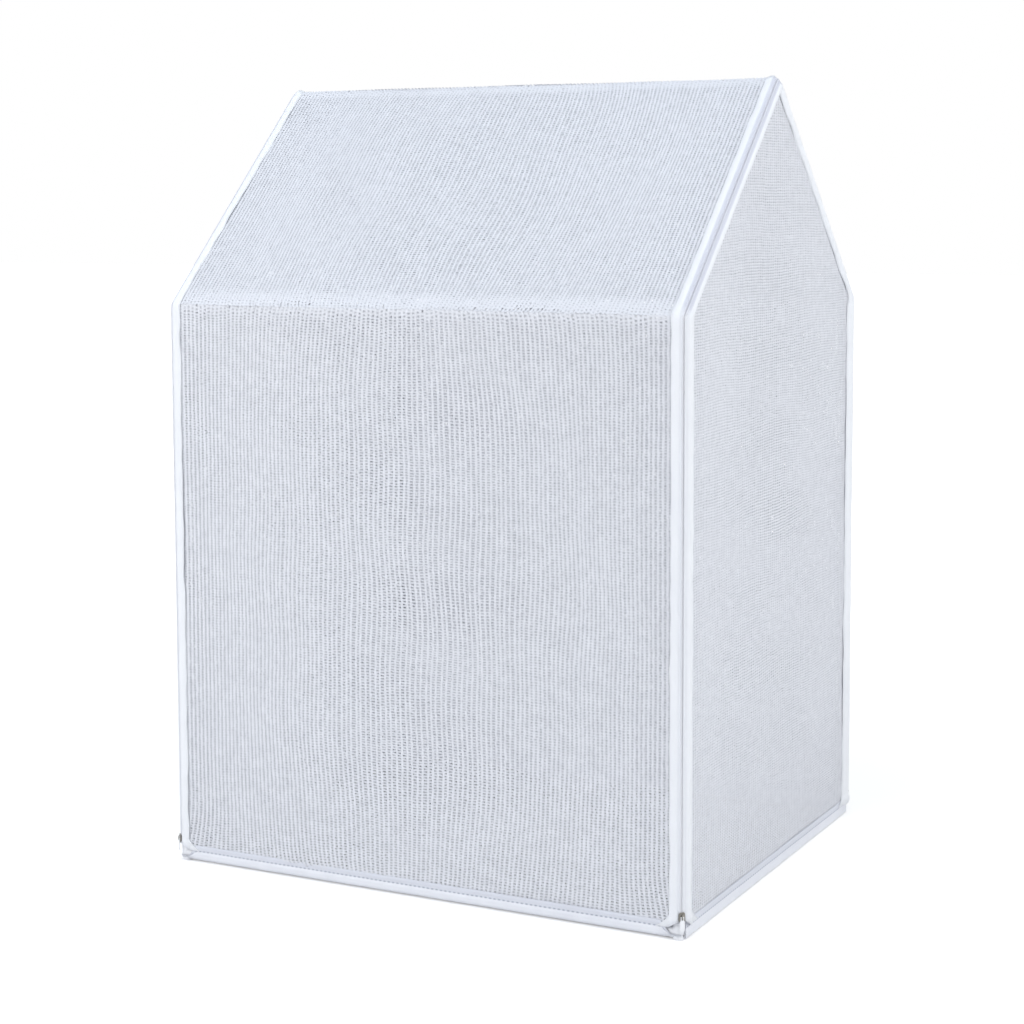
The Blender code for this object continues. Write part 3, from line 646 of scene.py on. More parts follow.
wall_height = EAVE_Z - HEM_TOP
for face_name, face in FACES.items():
    def cover_place(u, v, lift, low, height):
        """A point of the cover, sagging inward in the middle of its panel."""
        sag = np.cos(math.pi * u / (2 * FRAME_X)) * np.sin(math.pi * np.clip((v - low) / height, 0, 1))
        distance, z = run_point(v, NET_LIFT + lift - NET_SAG * sag)
        return np.stack([u, face * distance, z], -1)

    for part, pitch, low, height, draw, rest in (
            ("wall", WALL_PITCH, -wall_height, wall_height, CORNER_DRAW, f"eave_rail_{face_name}"),
            ("roof", ROOF_PITCH, 0.0, ROOF_LENGTH, 0.0, "ridge_rail")):
        panel = knit(f"{part}_knit_{face_name}", 2 * FRAME_X, height, pitch, draw, face_name,
                     lambda u, v, lift: cover_place(u, v + low, lift, low, height),
                     lambda u, v: np.abs(u) < FRAME_X, seed=11 + face + 20 * (part == "roof"))
        panel.data.materials.append(net_yarn)
        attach(panel, "root")
        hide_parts(f"{part}_net_{face_name}")


# End nets
# The same net, cut as a gable. It is one piece from the ground to the ridge. The real net is fixed
# above the fold line and free below it, so that the lower part lifts as a door; here the whole piece
# stays in place.

END_HEIGHT = RIDGE_Z + NET_LIFT - HEM_TOP
CUT_MARGIN = 0.004
LEAST_HEIGHT = 0.01

# The ends get the same painted yarn shade, with more at the loop ends and less along the thread edges.
end_net_yarn, tree, mix, place, tone = net_finish("end_net_yarn", 0.15, 0.09, 0.34)
tree.links.new(tone, mix.inputs["Factor"])


def under_slope(u, margin):
    """Height of the rafters' centre line above the hem, at a distance from the middle."""
    return RIDGE_Z - np.abs(u) * math.tan(SLOPE) - HEM_TOP + margin


def ride_end(piece):
    """Fix a piece of an end where it stands, by baking its placement into its points."""
    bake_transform(piece)


for side_name, side in SIDES.items():
    def end_place(u, v, lift):
        """A point of the end net, sagging inward in its middle."""
        rise = np.clip(v / np.maximum(under_slope(u, 0), LEAST_HEIGHT), 0, 1)
        sag = NET_SAG * np.cos(math.pi * u / (2 * FRAME_Y)) * np.sin(math.pi * rise)
        return np.stack([side * (FRAME_X + NET_LIFT + lift - sag), side * u, HEM_TOP + v], -1)

    end = knit(f"end_knit_{side_name}", 2 * FRAME_Y, END_HEIGHT, WALL_PITCH, CORNER_DRAW, side_name,
               end_place, lambda u, v: (np.abs(u) < FRAME_Y) & (v < under_slope(u, CUT_MARGIN)),
               seed=51 + side)
    end.data.materials.append(end_net_yarn)
    ride_end(end)
    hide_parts(f"gable_net_{side_name}", f"door_net_{side_name}")


# Hems
# Woven polyester, folded and sewn to the net's lower edge in lock stitch. On the front and back the
# fold is a sleeve round the base rail, cut away at the corner joints. On a door it is pressed flat.

HEM_WALL = 0.0005
HEM_OVERLAP = 0.004
HEM_STEP = 0.004
CORNER_DROP, DROP_FLOOR = 0.85, -0.006
CORNER_RUN = 0.030
CORNER_WRAP = math.radians(46)
LEAF_GAP = 0.0002

# Waves of the cloth as lengths and amounts, drawn out round the fold, and how far from the seam its
# puckers reach. A door's hem lies calmer.
HEM_DRIFT, PUCKERS = (0.10, 0.00028), (0.011, 0.00022)
PUCKER_REACH = 0.006
ROUND_THE_FOLD = 0.2
DOOR_HEM_CALM, DOOR_DRIFT_CALM = 0.8, 0.7

# Plain weave read from a map in metres: threads of one width that pass over and under each other.
weave, given, result = effect("weave", {"Thread": 0.0006}, {"Height": "Float"})
run = run_map(weave)
rate = maths(weave, "DIVIDE", math.pi, given.outputs["Thread"])
waves = [maths(weave, "SINE", maths(weave, "MULTIPLY", run[axis], rate)) for axis in ("X", "Y")]
weave.links.new(maths(weave, "MULTIPLY", *waves), result.inputs["Height"])

# The upper part of the strip is the doubled edge of the net, greyer than the fold. Between them
# the needle has drawn the cloth in at each wale, and the shade in these dimples is painted as a row
# of dark dots.
EDGE_BAND, FOLD_BAND = 0.0090, 0.0125
DIMPLE_ROW, DIMPLE_HALF = 0.0112, 0.0019
DIMPLE_SHADE_COLOUR = (0.36, 0.38, 0.47, 1)
BEAT_GAIN, BEAT_BASE = 0.5, 0.62

hem_cloth, tree, shader, mix, _ = textured(
    "hem_cloth", (0.95, 0.96, 1.0), 0.78, (0.79, 0.805, 0.87), weave, 0.00015, Thread=0.0009)
run = run_map(tree)
worn = mottle(tree, object_place(tree), scale=26.0, detail=4.0, gain=0.8, base=-0.25)
greyed = maths(tree, "ADD", worn, ranged(tree, run["Y"], FOLD_BAND, EDGE_BAND))
tree.links.new(maths(tree, "MAXIMUM", greyed, 0.0), mix.inputs["Factor"])
beat = maths(tree, "SINE", maths(tree, "MULTIPLY", run["X"], 2 * math.pi / WALL_PITCH))
beat = maths(tree, "MULTIPLY_ADD", beat, BEAT_GAIN, BEAT_BASE)
off_row = maths(tree, "ABSOLUTE", maths(tree, "SUBTRACT", run["Y"], DIMPLE_ROW))
row = maths(tree, "SUBTRACT", 1.0, maths(tree, "DIVIDE", off_row, DIMPLE_HALF))
dimple_shade = maths(tree, "MULTIPLY", maths(tree, "MAXIMUM", row, 0.0), maths(tree, "MAXIMUM", beat, 0.0))
dimple_shaded = tree.nodes.new("ShaderNodeMix")
dimple_shaded.data_type = "RGBA"
dimple_shaded.inputs["B"].default_value = DIMPLE_SHADE_COLOUR
tree.links.new(dimple_shade, dimple_shaded.inputs["Factor"])
tree.links.new(mix.outputs["Result"], dimple_shaded.inputs["A"])
tree.links.new(dimple_shaded.outputs["Result"], shader.inputs["Base Color"])
shader.inputs["Sheen Weight"].default_value = 0.2


def ease(value, start, end):
    """0 before start, 1 after end, and a smooth climb between them."""
    share = np.clip((value - start) / (end - start), 0, 1)
    return share * share * (3 - 2 * share)


def cloth_grid(name, places, kept, uv, wall):
    """A sheet over a grid of points, of the cells that are kept, with a thickness."""
    index = np.arange(places.shape[0] * places.shape[1]).reshape(places.shape[:2])
    quads = np.stack([index[:-1, :-1], index[1:, :-1], index[1:, 1:], index[:-1, 1:]], -1)[kept]
    piece = mesh_piece(name, places.reshape(-1, 3), [quads], uv.reshape(-1, 2))
    thickness = piece.modifiers.new("thickness", "SOLIDIFY")
    thickness.thickness = wall
    thickness.offset = 0
    piece.select_set(True)
    apply_modifiers(piece)
    piece.select_set(False)
    return piece


def lengths_of(outline):
    """The length along an outline at each of its points."""
    return np.cumsum(np.hypot(*np.diff(outline, axis=0, prepend=outline[:1]).T))


def fold_grid(outline, stations, seed):
    """The grid of a folded strip, with the slow unevenness of its cloth and the seam's puckers.

    It has the places along, the numbers of the outline's points, the places out and up, and the girth.
    """
    along, number = np.meshgrid(stations, np.arange(len(outline)), indexing="ij")
    girth = lengths_of(outline)[number]
    drift, puckers = (wander(along, girth * ROUND_THE_FOLD, own_seed, *waves)
                      for own_seed, waves in ((seed, HEM_DRIFT), (seed + 7, PUCKERS)))
    return along, number, outline[number, 0], outline[number, 1], girth, drift, puckers


STITCH_PITCH = 0.0042
STITCH_LENGTH = 0.0032
THREAD_RADIUS = 0.00030
SEAM_DROP = 0.0034
SEAM_OUT = 0.0014
DOOR_SEAM_END = 0.003

thread, tree, _, mix, spun = textured(
    "sewing_thread", (0.90, 0.91, 0.94), 0.55, (0.80, 0.81, 0.85), twist, 0.00006, Turns=9000.0)
tree.links.new(maths(tree, "MULTIPLY_ADD", spun["Height"], 0.2, 0.3), mix.inputs["Factor"])


def block_faces(count):
    """The sides and ends of equal blocks of four rings of four points, given point by point."""
    index = np.arange(16 * count).reshape(16, count)
    corners = [(4 * ring + corner, 4 * ring + (corner + 1) % 4) for ring in range(3) for corner in range(4)]
    faces = [(here, there, there + 4, here + 4) for here, there in corners]
    return [np.stack([index[point] for point in face], 1)
            for face in (*faces, (3, 2, 1, 0), (12, 13, 14, 15))]


def stitches(name, centres, ways, outs):
    """Stitches at points, along given directions and standing out of the cloth.

    Each of their four rings has a place along the stitch, a share of its radius and a rise.
    """
    ways, outs = np.broadcast_to(ways, centres.shape), np.broadcast_to(outs, centres.shape)
    ways = ways / np.linalg.norm(ways, axis=1, keepdims=True)
    beside = np.cross(ways, outs)
    beside = beside / np.linalg.norm(beside, axis=1, keepdims=True)
    outs = np.cross(beside, ways)
    points, uvs = [], []
    for place, radius, raised in ((-0.5, 0.45, -0.5), (-0.25, 1.0, 0.35),
                                  (0.25, 1.0, 0.35), (0.5, 0.45, -0.5)):
        for corner in range(4):
            turn = math.pi / 4 + corner * math.pi / 2
            spread = beside * math.cos(turn) + outs * (math.sin(turn) + raised)
            points.append(centres + ways * STITCH_LENGTH * place + spread * THREAD_RADIUS * radius)
            uvs.append(np.broadcast_to((corner / 4, STITCH_LENGTH * place), (len(centres), 2)))
    piece = mesh_piece(name, np.concatenate(points), block_faces(len(centres)), np.concatenate(uvs))
    piece.data.materials.append(thread)
    return piece


def sew_hem(kind, end_name, body, node, grid, row, way, out):
    """A hem and its seam from their grid and row, hung on a body in the place of a node."""
    places, kept, along, girth = grid
    hem = cloth_grid(f"{kind}_fold_{end_name}", places, kept, np.stack([along, girth], -1), HEM_WALL)
    hem.data.materials.append(hem_cloth)
    centres = np.stack(np.broadcast_arrays(*row), 1)
    seam = stitches(f"{kind}_stitching_{end_name}", centres, way, out)
    for piece in (hem, seam):
        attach(piece, body)
    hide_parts(node)


def arc(centre, radius, first, last, count):
    """Points on an arc, as distances out and up, from angles in degrees."""
    turns = np.radians(np.linspace(first, last, count))
    return [(centre[0] + radius * math.cos(t), centre[1] + radius * math.sin(t)) for t in turns]


# The sleeve's outline starts at the top of its outer leaf, in places out from the rail's centre and
# shares of the seam's height. It goes round the rail and ends inside, at the seam.
SLEEVE_PLAY = 0.0001
SLEEVE_RADIUS = NET_LIFT - SLEEVE_PLAY
SEAM_RISE = HEM_TOP - BASE_Z
RAIL_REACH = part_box("hem_sleeve_front")[1].x
ROUND_POINTS, OUTER_LEAF = 24, 12

leaving = math.degrees(2 * math.atan2(SEAM_RISE, SLEEVE_RADIUS))
sleeve_outline = np.array(
    [(SLEEVE_RADIUS + 0.0010, SEAM_RISE + HEM_OVERLAP * share) for share in (1, 0.5, 0)]
    + [(SLEEVE_RADIUS + bulge, SEAM_RISE * share)
       for bulge, share in ((0.0007, 0.72), (-0.0004, 0.55), (0.0007, 0.38), (0.0008, 0.15))]
    + arc((0, 0), SLEEVE_RADIUS, 0, leaving - 360, ROUND_POINTS)
    + [(SLEEVE_RADIUS - 0.0012, SEAM_RISE * 0.8), (SLEEVE_RADIUS - 0.0014, SEAM_RISE)])
hem_reach = FRAME_X + CORNER_WRAP * NET_LIFT
hem_stations = np.linspace(-hem_reach, hem_reach, round(2 * hem_reach / HEM_STEP))

for face_name, face in FACES.items():
    along, number, out, rise, girth, drift, puckers = fold_grid(sleeve_outline, hem_stations, 71 + face)
    near_seam = np.exp(-((rise - SEAM_RISE) / PUCKER_REACH) ** 2) * (number < OUTER_LEAF)
    out = out + drift + puckers * near_seam + LEAF_GAP * (number < OUTER_LEAF)
    beyond = ease(np.abs(along), FRAME_X - CORNER_RUN, FRAME_X - CORNER_RUN / 4)
    rise = rise - CORNER_DROP * beyond * np.clip(rise - DROP_FLOOR, 0, None)
    turn = np.clip(np.abs(along) - FRAME_X, 0, None) / NET_LIFT
    x = np.sign(along) * (np.minimum(np.abs(along), FRAME_X) + out * np.sin(turn))
    places = np.stack([x, face * (FRAME_Y + out * np.cos(turn)), BASE_Z + rise], -1)
    cell_along = np.abs(along[:-1, :-1] + along[1:, 1:]) / 2
    kept = (cell_along < RAIL_REACH) | (number[:-1, :-1] < OUTER_LEAF)
    if face_name == "front":
        places, kept = places[::-1], kept[::-1]
    row = (np.arange(-FRAME_X + CORNER_RUN, FRAME_X - CORNER_RUN, STITCH_PITCH),
           face * (FRAME_Y + SLEEVE_RADIUS + SEAM_OUT), HEM_TOP - SEAM_DROP)
    sew_hem("hem", face_name, "root", f"hem_sleeve_{face_name}",
            (places, kept, along, girth), row, way=(1, 0, 0), out=(0, face, 0))

# The door hem's outline, in shares of its half thickness and of its height.
door_hem_low, door_hem_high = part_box("door_hem_right")
DOOR_HEM_OUT = (door_hem_low.x + door_hem_high.x) / 2 - FRAME_X
DOOR_HEM_HALF = (door_hem_high.x - door_hem_low.x) / 2 - HEM_WALL / 2
fold_low = door_hem_low.z + DOOR_HEM_HALF
fold_high = door_hem_high.z
door_outline = np.array(
    [(DOOR_HEM_OUT + 0.0006, fold_high + HEM_OVERLAP), (DOOR_HEM_OUT + 0.0007, fold_high)]
    + [(DOOR_HEM_OUT + DOOR_HEM_HALF * bulge, fold_low + (fold_high - fold_low) * share)
       for bulge, share in ((0.9, 0.85), (1.1, 0.68), (0.6, 0.52), (1.1, 0.36), (1.1, 0.15))]
    + arc((DOOR_HEM_OUT, fold_low), DOOR_HEM_HALF, 0, -180, 9)
    + [(DOOR_HEM_OUT - DOOR_HEM_HALF * bulge, fold_low + (fold_high - fold_low) * share)
       for bulge, share in ((1, 0.3), (0.9, 0.6), (0.7, 0.85), (0.2, 1.0))])
door_stations = np.linspace(-FRAME_Y, FRAME_Y, round(2 * FRAME_Y / HEM_STEP))

for side_name, side in SIDES.items():
    along, number, out, height, girth, drift, puckers = fold_grid(door_outline, door_stations, 91 + side)
    near_seam = np.exp(-((height - fold_high) / PUCKER_REACH) ** 2)
    out = out + (drift * DOOR_DRIFT_CALM + puckers * near_seam) * DOOR_HEM_CALM
    places = np.stack([side * (FRAME_X + out), side * along, height], -1)
    kept = np.ones((number.shape[0] - 1, number.shape[1] - 1), bool)
    row = (side * (FRAME_X + DOOR_HEM_OUT + DOOR_HEM_HALF),
           np.arange(-FRAME_Y + DOOR_SEAM_END, FRAME_Y - DOOR_SEAM_END, STITCH_PITCH),
           fold_high - SEAM_DROP)
    sew_hem("door", side_name, f"door_{side_name}", f"door_hem_{side_name}",
            (places, kept, along, girth), row, way=(0, 1, 0), out=(side, 0, 0))


# Zip tapes
# Woven polyester tape, sewn over the net's bound edge on each side of a corner. It stands flat
# across the corner and bends back to the net. Near the ground its outer edge turns into the hem on
# a slant, and below the slider the two halves part.

DIAGONAL = math.sqrt(0.5)
slider_low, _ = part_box("zip_slider_front_right")
TAPE_LIFT = 0.0114
TAPE_WALL = 0.0006
CHAIN_HALF = 0.0007
COVER_FLAT, COVER_TAIL, COVER_RAFTER_TAIL = 0.009, 0.014, 0.0128
END_FLAT, END_TAIL, END_RAFTER_TAIL = 0.0135, 0.026, 0.0130
KNEE_SHARE, TAIL_START, TAIL_BULGE = 0.06, 0.2, 0.0010
TAPE_STEP, FINE_STEP = 0.005, 0.0012
TAPE_LOW = 0.0215
FLARE_TOP = slider_low.z + 0.005
FLARE_REACH, FLARE_POWER = 0.024, 1.3
CORNER_TOP, CORNER_FALL, CORNER_TURN, CORNER_POWER = 0.014, 0.022, 0.026, 1.4
OVER_SLEEVE, OVER_DOOR_HEM = 0.0010, 0.0021
OVER_TOP, OVER_CLIMB = 0.014, 0.009
EDGE_WAVE, LIFT_WAVE = (0.075, 0.0008), (0.055, 0.0004)
OVERRUN = 0.1
SEAM_END = 0.002
WELL_INSIDE = 0.05

# Painted shade on the tapes: in the troughs of the ribs, and in a band beside the coil, given for the post
# and the rafter as where it has faded out and where it is full.
RIB_PITCH = 0.0021
POST_GROOVE, RAFTER_GROOVE = (0.0115, 0.0045), (0.0088, 0.0064)
RAFTER_GROOVE_SHADE = 0.95
RIB_SHADE = -0.08


def tape_finish(name, post_groove_shade):
    """Ribbed tape, with painted shade in the troughs of its ribs and in a groove beside the coil,
    deeper and sharper along the rafter, and clouds of random tone.
    """
    material, tree, shader, mix = finish(name, (0.97, 0.98, 1.0), 0.66, (0.76, 0.775, 0.85))
    run = run_map(tree)
    rib = maths(tree, "SINE", maths(tree, "MULTIPLY", run["X"], 2 * math.pi / RIB_PITCH))
    tape = use(tree, weave, Thread=0.0005)
    bump(tree, shader, maths(tree, "MULTIPLY_ADD", tape.outputs["Height"], 0.35, rib), 0.00016)
    cloud = mottle(tree, object_place(tree), scale=18.0, detail=3.0, gain=0.4, base=-0.15)
    shade_and_cloud = maths(tree, "MULTIPLY_ADD", rib, RIB_SHADE, cloud)
    on_post = ranged(tree, run["X"], *POST_GROOVE, high=post_groove_shade)
    on_rafter = ranged(tree, run["X"], *RAFTER_GROOVE, high=RAFTER_GROOVE_SHADE)
    up_roof = ranged(tree, run["Y"], 0, 2 * EAVE_EASE)
    deeper = maths(tree, "MULTIPLY", maths(tree, "SUBTRACT", on_rafter, on_post), up_roof)
    shade_and_cloud = maths(tree, "ADD", maths(tree, "ADD", on_post, deeper), shade_and_cloud)
    tree.links.new(maths(tree, "MAXIMUM", shade_and_cloud, 0.0), mix.inputs["Factor"])
    shader.inputs["Sheen Weight"].default_value = 0.2
    return material


# The cover's half is painted with more shade beside the coil than the end's half.
cover_tape_cloth = tape_finish("cover_tape_cloth", 0.28)
end_tape_cloth = tape_finish("end_tape_cloth", 0.08)


def across(offset, lift):
    """A point on the line across the corner, as distances out from the post along its two faces."""
    return np.array((DIAGONAL * (lift - offset), DIAGONAL * (lift + offset)))


def band_section(flat, tail, rest):
    """The tape from the chain to its outer edge, which lies rest out from the post on the net."""
    edge, bend = across(CHAIN_HALF, TAPE_LIFT), across(flat, TAPE_LIFT)
    drop = bend[1] - rest
    end = bend - np.array((math.sqrt(tail ** 2 - drop ** 2), drop))
    flat_part = edge + (bend - edge) * np.linspace(0, 1, 5)[:-1, None]
    knee = [bend + (beside - bend) * KNEE_SHARE for beside in (edge, end)]
    shares = np.linspace(TAIL_START, 1, 6)
    tail_part = bend + (end - bend) * shares[:, None]
    tail_part[:, 1] += TAIL_BULGE * np.sin(math.pi * shares)
    return np.concatenate([flat_part, knee, tail_part])


def zip_points(sideways, along, lift, side, face):
    """Points beside a corner post and rafter: sideways and lift are out along its two faces."""
    distance, height = run_point(along, lift)
    x = side * (FRAME_X + sideways) + np.zeros_like(distance)
    return np.stack([x, face * distance, height], -1)


def flare(along):
    """How far the tapes have parted from the chain's line at a place near the ground."""
    fall = np.clip((FLARE_TOP - (EAVE_Z + along)) / (FLARE_TOP - TAPE_LOW), 0, 1)
    return FLARE_REACH * fall ** FLARE_POWER


def slanted_corner(along):
    """How far the tape's outer edge has turned towards the hem at a place near the ground."""
    fall = np.clip((HEM_TOP + CORNER_TOP - (EAVE_Z + along)) / CORNER_FALL, 0, 1)
    return CORNER_TURN * fall ** CORNER_POWER


def halves(on_cover, first, second):
    """A pair of values for the cover's half of a zip, or swapped for the end net's half."""
    return (first, second) if on_cover else (second, first)


def inside_out(on_cover, side, face):
    """Whether a piece of a half has to be turned, because its half is a mirror image."""
    return (side == face) == on_cover


def ride_half(piece, on_cover):
    """Hang a piece of a zip on the frame on the cover's half, and fix it where it stands on the other half.
    """
    if on_cover:
        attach(piece, "root")
    else:
        ride_end(piece)


def band_grid(on_cover, along, sections, seed):
    """Sideways places and lifts of one half's tape over all stations, waved along its free edge."""
    stations, number = np.meshgrid(along, np.arange(len(sections[0])), indexing="ij")
    back, out, run = 0, 0, 0
    up_roof = ease(stations, 0, 2 * EAVE_EASE)
    for section, share in zip(sections, (1 - up_roof, up_roof)):
        lengths = lengths_of(section)
        width = lengths[-1]
        loose = lengths[number] / width
        wave = wander(stations, stations * 0, seed, *EDGE_WAVE) * loose ** 2
        inner, outer = flare(stations), width + slanted_corner(stations)
        reached = inner + (outer - inner) * loose - wave
        run_on, farther = [*lengths, width + OVERRUN], section[-1] - (OVERRUN, 0)
        back = back + share * np.interp(reached, run_on, [*section[:, 0], farther[0]])
        out = out + share * np.interp(reached, run_on, [*section[:, 1], farther[1]])
        run = run + share * lengths[number]
    over_hem = halves(on_cover, OVER_SLEEVE, OVER_DOOR_HEM)[0]
    out = out + over_hem * ease(HEM_TOP + OVER_TOP - (EAVE_Z + stations), 0, OVER_CLIMB)
    out = out + wander(stations, stations * 0, seed + 5, *LIFT_WAVE) * loose
    sideways, lift = halves(on_cover, back, out)
    return stations, run, sideways, lift


def evenly(points, outs, pitch):
    """A row of points and the directions out from it, spaced evenly along it, with the ways along."""
    run = np.append(0, np.cumsum(np.linalg.norm(np.diff(points, axis=0), axis=1)))
    places = np.arange(0, run[-1], pitch)
    row, away = (np.stack([np.interp(places, run, axis) for axis in line.T], 1) for line in (points, outs))
    return row, np.gradient(row, axis=0), away


def seam_row(band, along, column, side, face):
    """The stitches of a seam on one column of a tape: their places, their ways and the ways out."""
    _, _, sideways, lift = band
    inner, seam, outer = (zip_points(sideways[:, place], along, lift[:, place], side, face)
                          for place in (column - 1, column, column + 1))
    out = np.cross(np.gradient(seam, axis=0), outer - inner)
    out = out / np.linalg.norm(out, axis=1, keepdims=True)
    away = seam - zip_points(-WELL_INSIDE, along, np.full(len(along), -WELL_INSIDE), side, face)
    out = out * np.sign((out * away).sum(1, keepdims=True))
    return evenly(seam + out * TAPE_WALL / 2, out, STITCH_PITCH)


# Stations run from the ground to the ridge, fine where the outer edge turns into the hem.
corner_top = HEM_TOP + CORNER_TOP - EAVE_Z
chain_stations = np.concatenate([
    np.arange(TAPE_LOW - EAVE_Z, corner_top, FINE_STEP),
    np.arange(corner_top, ROOF_LENGTH - TAPE_STEP / 2, TAPE_STEP),
    [ROOF_LENGTH],
])
seam_stations = np.arange(TAPE_LOW + SEAM_END - EAVE_Z, ROOF_LENGTH - SEAM_END, FINE_STEP)
REST = NET_LIFT + WALE_HEIGHT + TAPE_WALL / 2
cover_sections = [band_section(COVER_FLAT, tail, REST) for tail in (COVER_TAIL, COVER_RAFTER_TAIL)]
end_sections = [band_section(END_FLAT, tail, REST) for tail in (END_TAIL, END_RAFTER_TAIL)]
corners = [(f"{face_name}_{side_name}", side_name, side, face_name, face)
           for side_name, side in SIDES.items() for face_name, face in FACES.items()]

for corner, side_name, side, face_name, face in corners:
    for on_cover, sections, cloth, seam_column, net, replaced in (
            (True, cover_sections, cover_tape_cloth, 3, f"wall_knit_{face_name}",
             [f"zip_cover_{corner}"]),
            (False, end_sections, end_tape_cloth, 2, f"end_knit_{side_name}",
             [f"zip_gable_{corner}", f"zip_door_{corner}"])):
        kind = "cover" if on_cover else "end"
        seed = 200 + 10 * side + 3 * face + on_cover
        stations, run, sideways, lift = band_grid(on_cover, chain_stations, sections, seed)
        places, uv = zip_points(sideways, stations, lift, side, face), np.stack([run, stations], -1)
        if inside_out(on_cover, side, face):
            places, uv = places[::-1], uv[::-1]
        kept = np.ones((stations.shape[0] - 1, stations.shape[1] - 1), bool)
        band = cloth_grid(f"{kind}_tape_{corner}", places, kept, uv, TAPE_WALL)
        band.data.materials.append(cloth)
        fine_band = band_grid(on_cover, seam_stations, sections, seed)
        rows = [seam_row(fine_band, seam_stations, column, side, face)
                for column in (seam_column, stations.shape[1] - 2)]
        seams = stitches(f"{kind}_stitching_{corner}", *map(np.concatenate, zip(*rows)))
        for piece in (band, seams):
            ride_half(piece, on_cover)
        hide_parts(*replaced)


# Zip teeth
# Nylon monofilament coiled, heat set and sewn to each tape. From outside each turn shows as one
# tooth, and the two rows mesh half a pitch apart over a thin dark groove.

TOOTH_PITCH = 0.0019
TOOTH_WIDTH = 0.0013
TOOTH_BASE = 0.0034
TOOTH_TIP = 0.0003
COIL_HEIGHT = 0.0015
FIRST_TOOTH = slider_low.z + 0.002
ROOF_TEETH_SHADE, GREY_GAIN = 0.7, 0.35

nylon, tree, _, mix, filament = textured(
    "nylon_teeth", (0.97, 0.97, 1.0), 0.38, (0.76, 0.77, 0.84), skin, 0.00003, Grain=2200.0, Patches=60.0)
# The teeth along the rafters are painted greyer, as painted shade; the filament's own tone varies at random
# on top.
height = axes_of(tree, object_place(tree))["Z"]
greyed = ranged(tree, height, EAVE_Z, EAVE_Z + 2 * EAVE_EASE, high=ROOF_TEETH_SHADE)
greyed = maths(tree, "MULTIPLY_ADD", filament["Tone"], GREY_GAIN, greyed)
tree.links.new(greyed, mix.inputs["Factor"])


def teeth(name, along, on_cover, side, face):
    """One row of teeth: blocks that rise from the tape and round down to their tips.

    Each of their four rings has a place from foot to tip, a share of the width and one of the height.
    """
    rings = []
    foot = TAPE_LIFT + TAPE_WALL / 2
    for offset, width, height in ((TOOTH_BASE, 0.7, 0.35), (TOOTH_BASE * 0.8, 1.0, 0.85),
                                  (TOOTH_BASE * 0.45, 1.0, 1.0), (TOOTH_TIP, 0.95, 0.95)):
        for step, level in ((-0.5, 0.0), (0.5, 0.0), (0.5, height), (-0.5, height)):
            place = along + TOOTH_WIDTH * width * step
            back, out = across(offset, foot + COIL_HEIGHT * level)
            sideways, lift = halves(on_cover, back - flare(place), np.full(len(place), out))
            rings.append(zip_points(sideways, place, lift, side, face))
    faces = block_faces(len(along))
    if inside_out(on_cover, side, face):
        faces = [part[:, ::-1] for part in faces]
    piece = mesh_piece(name, np.concatenate(rings), faces)
    piece.data.materials.append(nylon)
    return piece


tooth_row = np.arange(FIRST_TOOTH - EAVE_Z, ROOF_LENGTH - TOOTH_PITCH, TOOTH_PITCH)
for corner, side_name, side, _, face in corners:
    for kind, on_cover, shift in (("cover", True, 0.0), ("end", False, TOOTH_PITCH / 2)):
        row = teeth(f"{kind}_teeth_{corner}", tooth_row + shift, on_cover, side, face)
        ride_half(row, on_cover)


# Sliders
# Die cast zinc, blackened and tumbled: two plates on a wedge, flanged edges and a crown for the
# pull. The plating is rubbed bright along the edges.

SLIDER_ROUNDING = 0.00022
RUB_GAIN, RUB_BASE = 9.0, -4.75

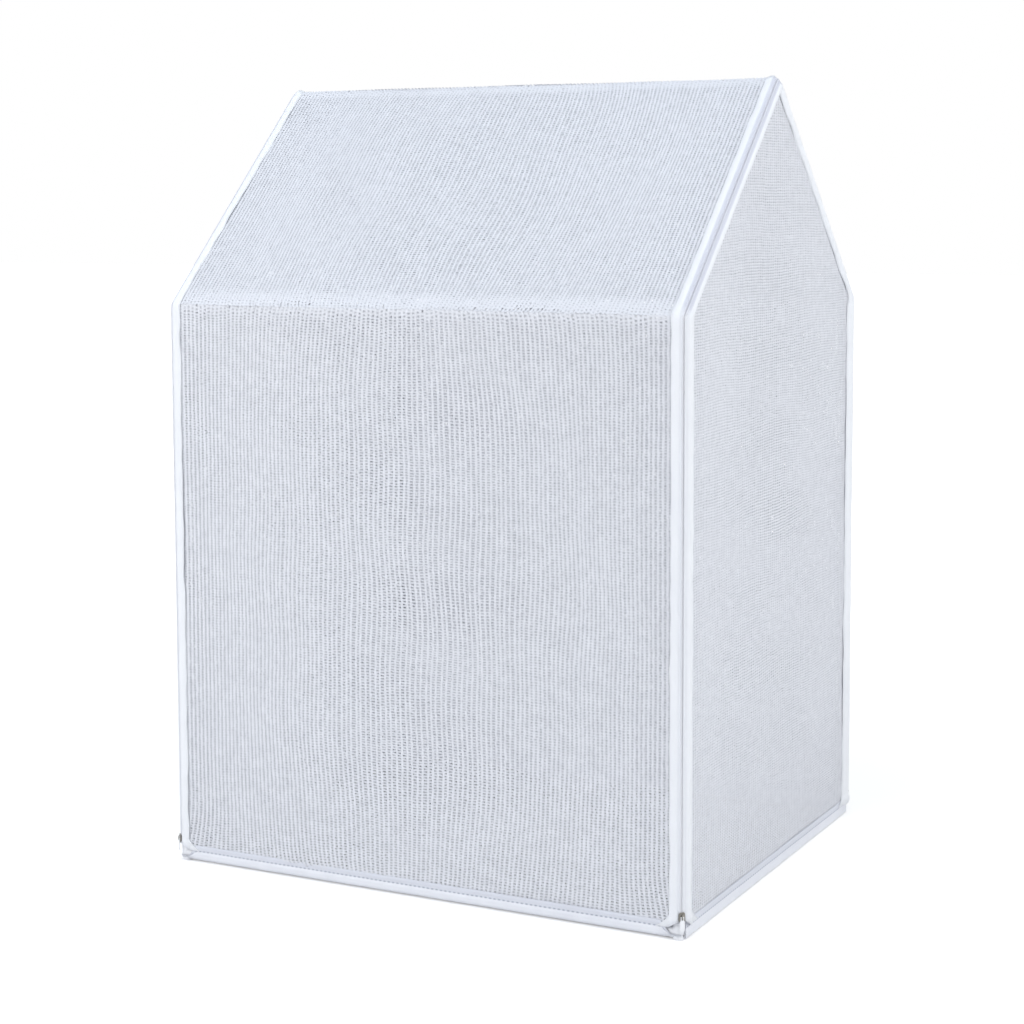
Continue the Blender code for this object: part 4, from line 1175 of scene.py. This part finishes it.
blackened_zinc, tree, shader, mix, cast = textured(
    "blackened_zinc", (0.20, 0.19, 0.17), 0.34, (0.66, 0.65, 0.60), skin, 0.00005,
    Grain=1800.0, Patches=160.0)
shader.inputs["Metallic"].default_value = 1.0
edges = tree.nodes.new("ShaderNodeNewGeometry").outputs["Pointiness"]
rubbed = maths(tree, "MAXIMUM", maths(tree, "MULTIPLY_ADD", edges, RUB_GAIN, RUB_BASE), 0.0)
rubbed = maths(tree, "MULTIPLY", rubbed, cast["Tone"])
tree.links.new(maths(tree, "MINIMUM", rubbed, 1.0), mix.inputs["Factor"])
tree.links.new(maths(tree, "MULTIPLY_ADD", cast["Tone"], 0.25, 0.22), shader.inputs["Roughness"])

for corner, *_ in corners:
    slider = bench_copy(f"slider_body_{corner}", f"zip_slider_{corner}", SLIDER_ROUNDING)
    apply_modifiers(slider)
    dress(slider, blackened_zinc, 40, f"slider_{corner}", f"zip_slider_{corner}")


# Pulls
# Zinc tabs stoved with white enamel, pinched shut on a pin under the slider's crown. The tab has a
# shallow panel pressed into each face for grip.

PULL_ROUNDING = 0.0003
PANEL_INSET = 0.0012
PANEL_DEPTH = 0.0002
PANEL_SHARE = 0.66
FACE_ON = 0.99

white_enamel, shader = skin_finish(
    "white_enamel", (0.98, 0.98, 0.99), 0.22, (0.94, 0.94, 0.96), skin, 0.00003,
    Grain=700.0, Patches=90.0, tone=1.0, polish=(0.15, 0.18))
shader.inputs["Coat Weight"].default_value = 0.3

for corner, _, side, _, face in corners:
    pull = bench_copy(f"pull_tab_{corner}", f"zip_pull_{corner}", PULL_ROUNDING)
    out = Vector((side, face, 0)).normalized()
    pull_low, pull_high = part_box(f"zip_pull_{corner}")
    panel_top = pull_low.z + PANEL_SHARE * (pull_high.z - pull_low.z)
    bpy.ops.object.mode_set(mode="EDIT")
    bpy.ops.mesh.select_all(action="SELECT")
    bpy.ops.mesh.bisect(plane_co=(0, 0, panel_top), plane_no=(0, 0, 1))
    bpy.ops.mesh.select_all(action="DESELECT")
    bpy.ops.object.mode_set(mode="OBJECT")
    for polygon in pull.data.polygons:
        polygon.select = polygon.center.z < panel_top and abs(polygon.normal.dot(out)) > FACE_ON
    bpy.ops.object.mode_set(mode="EDIT")
    bpy.ops.mesh.inset(thickness=PANEL_INSET, depth=-PANEL_DEPTH)
    bpy.ops.object.mode_set(mode="OBJECT")
    apply_modifiers(pull)
    dress(pull, white_enamel, 40, f"pull_{corner}", f"zip_pull_{corner}")
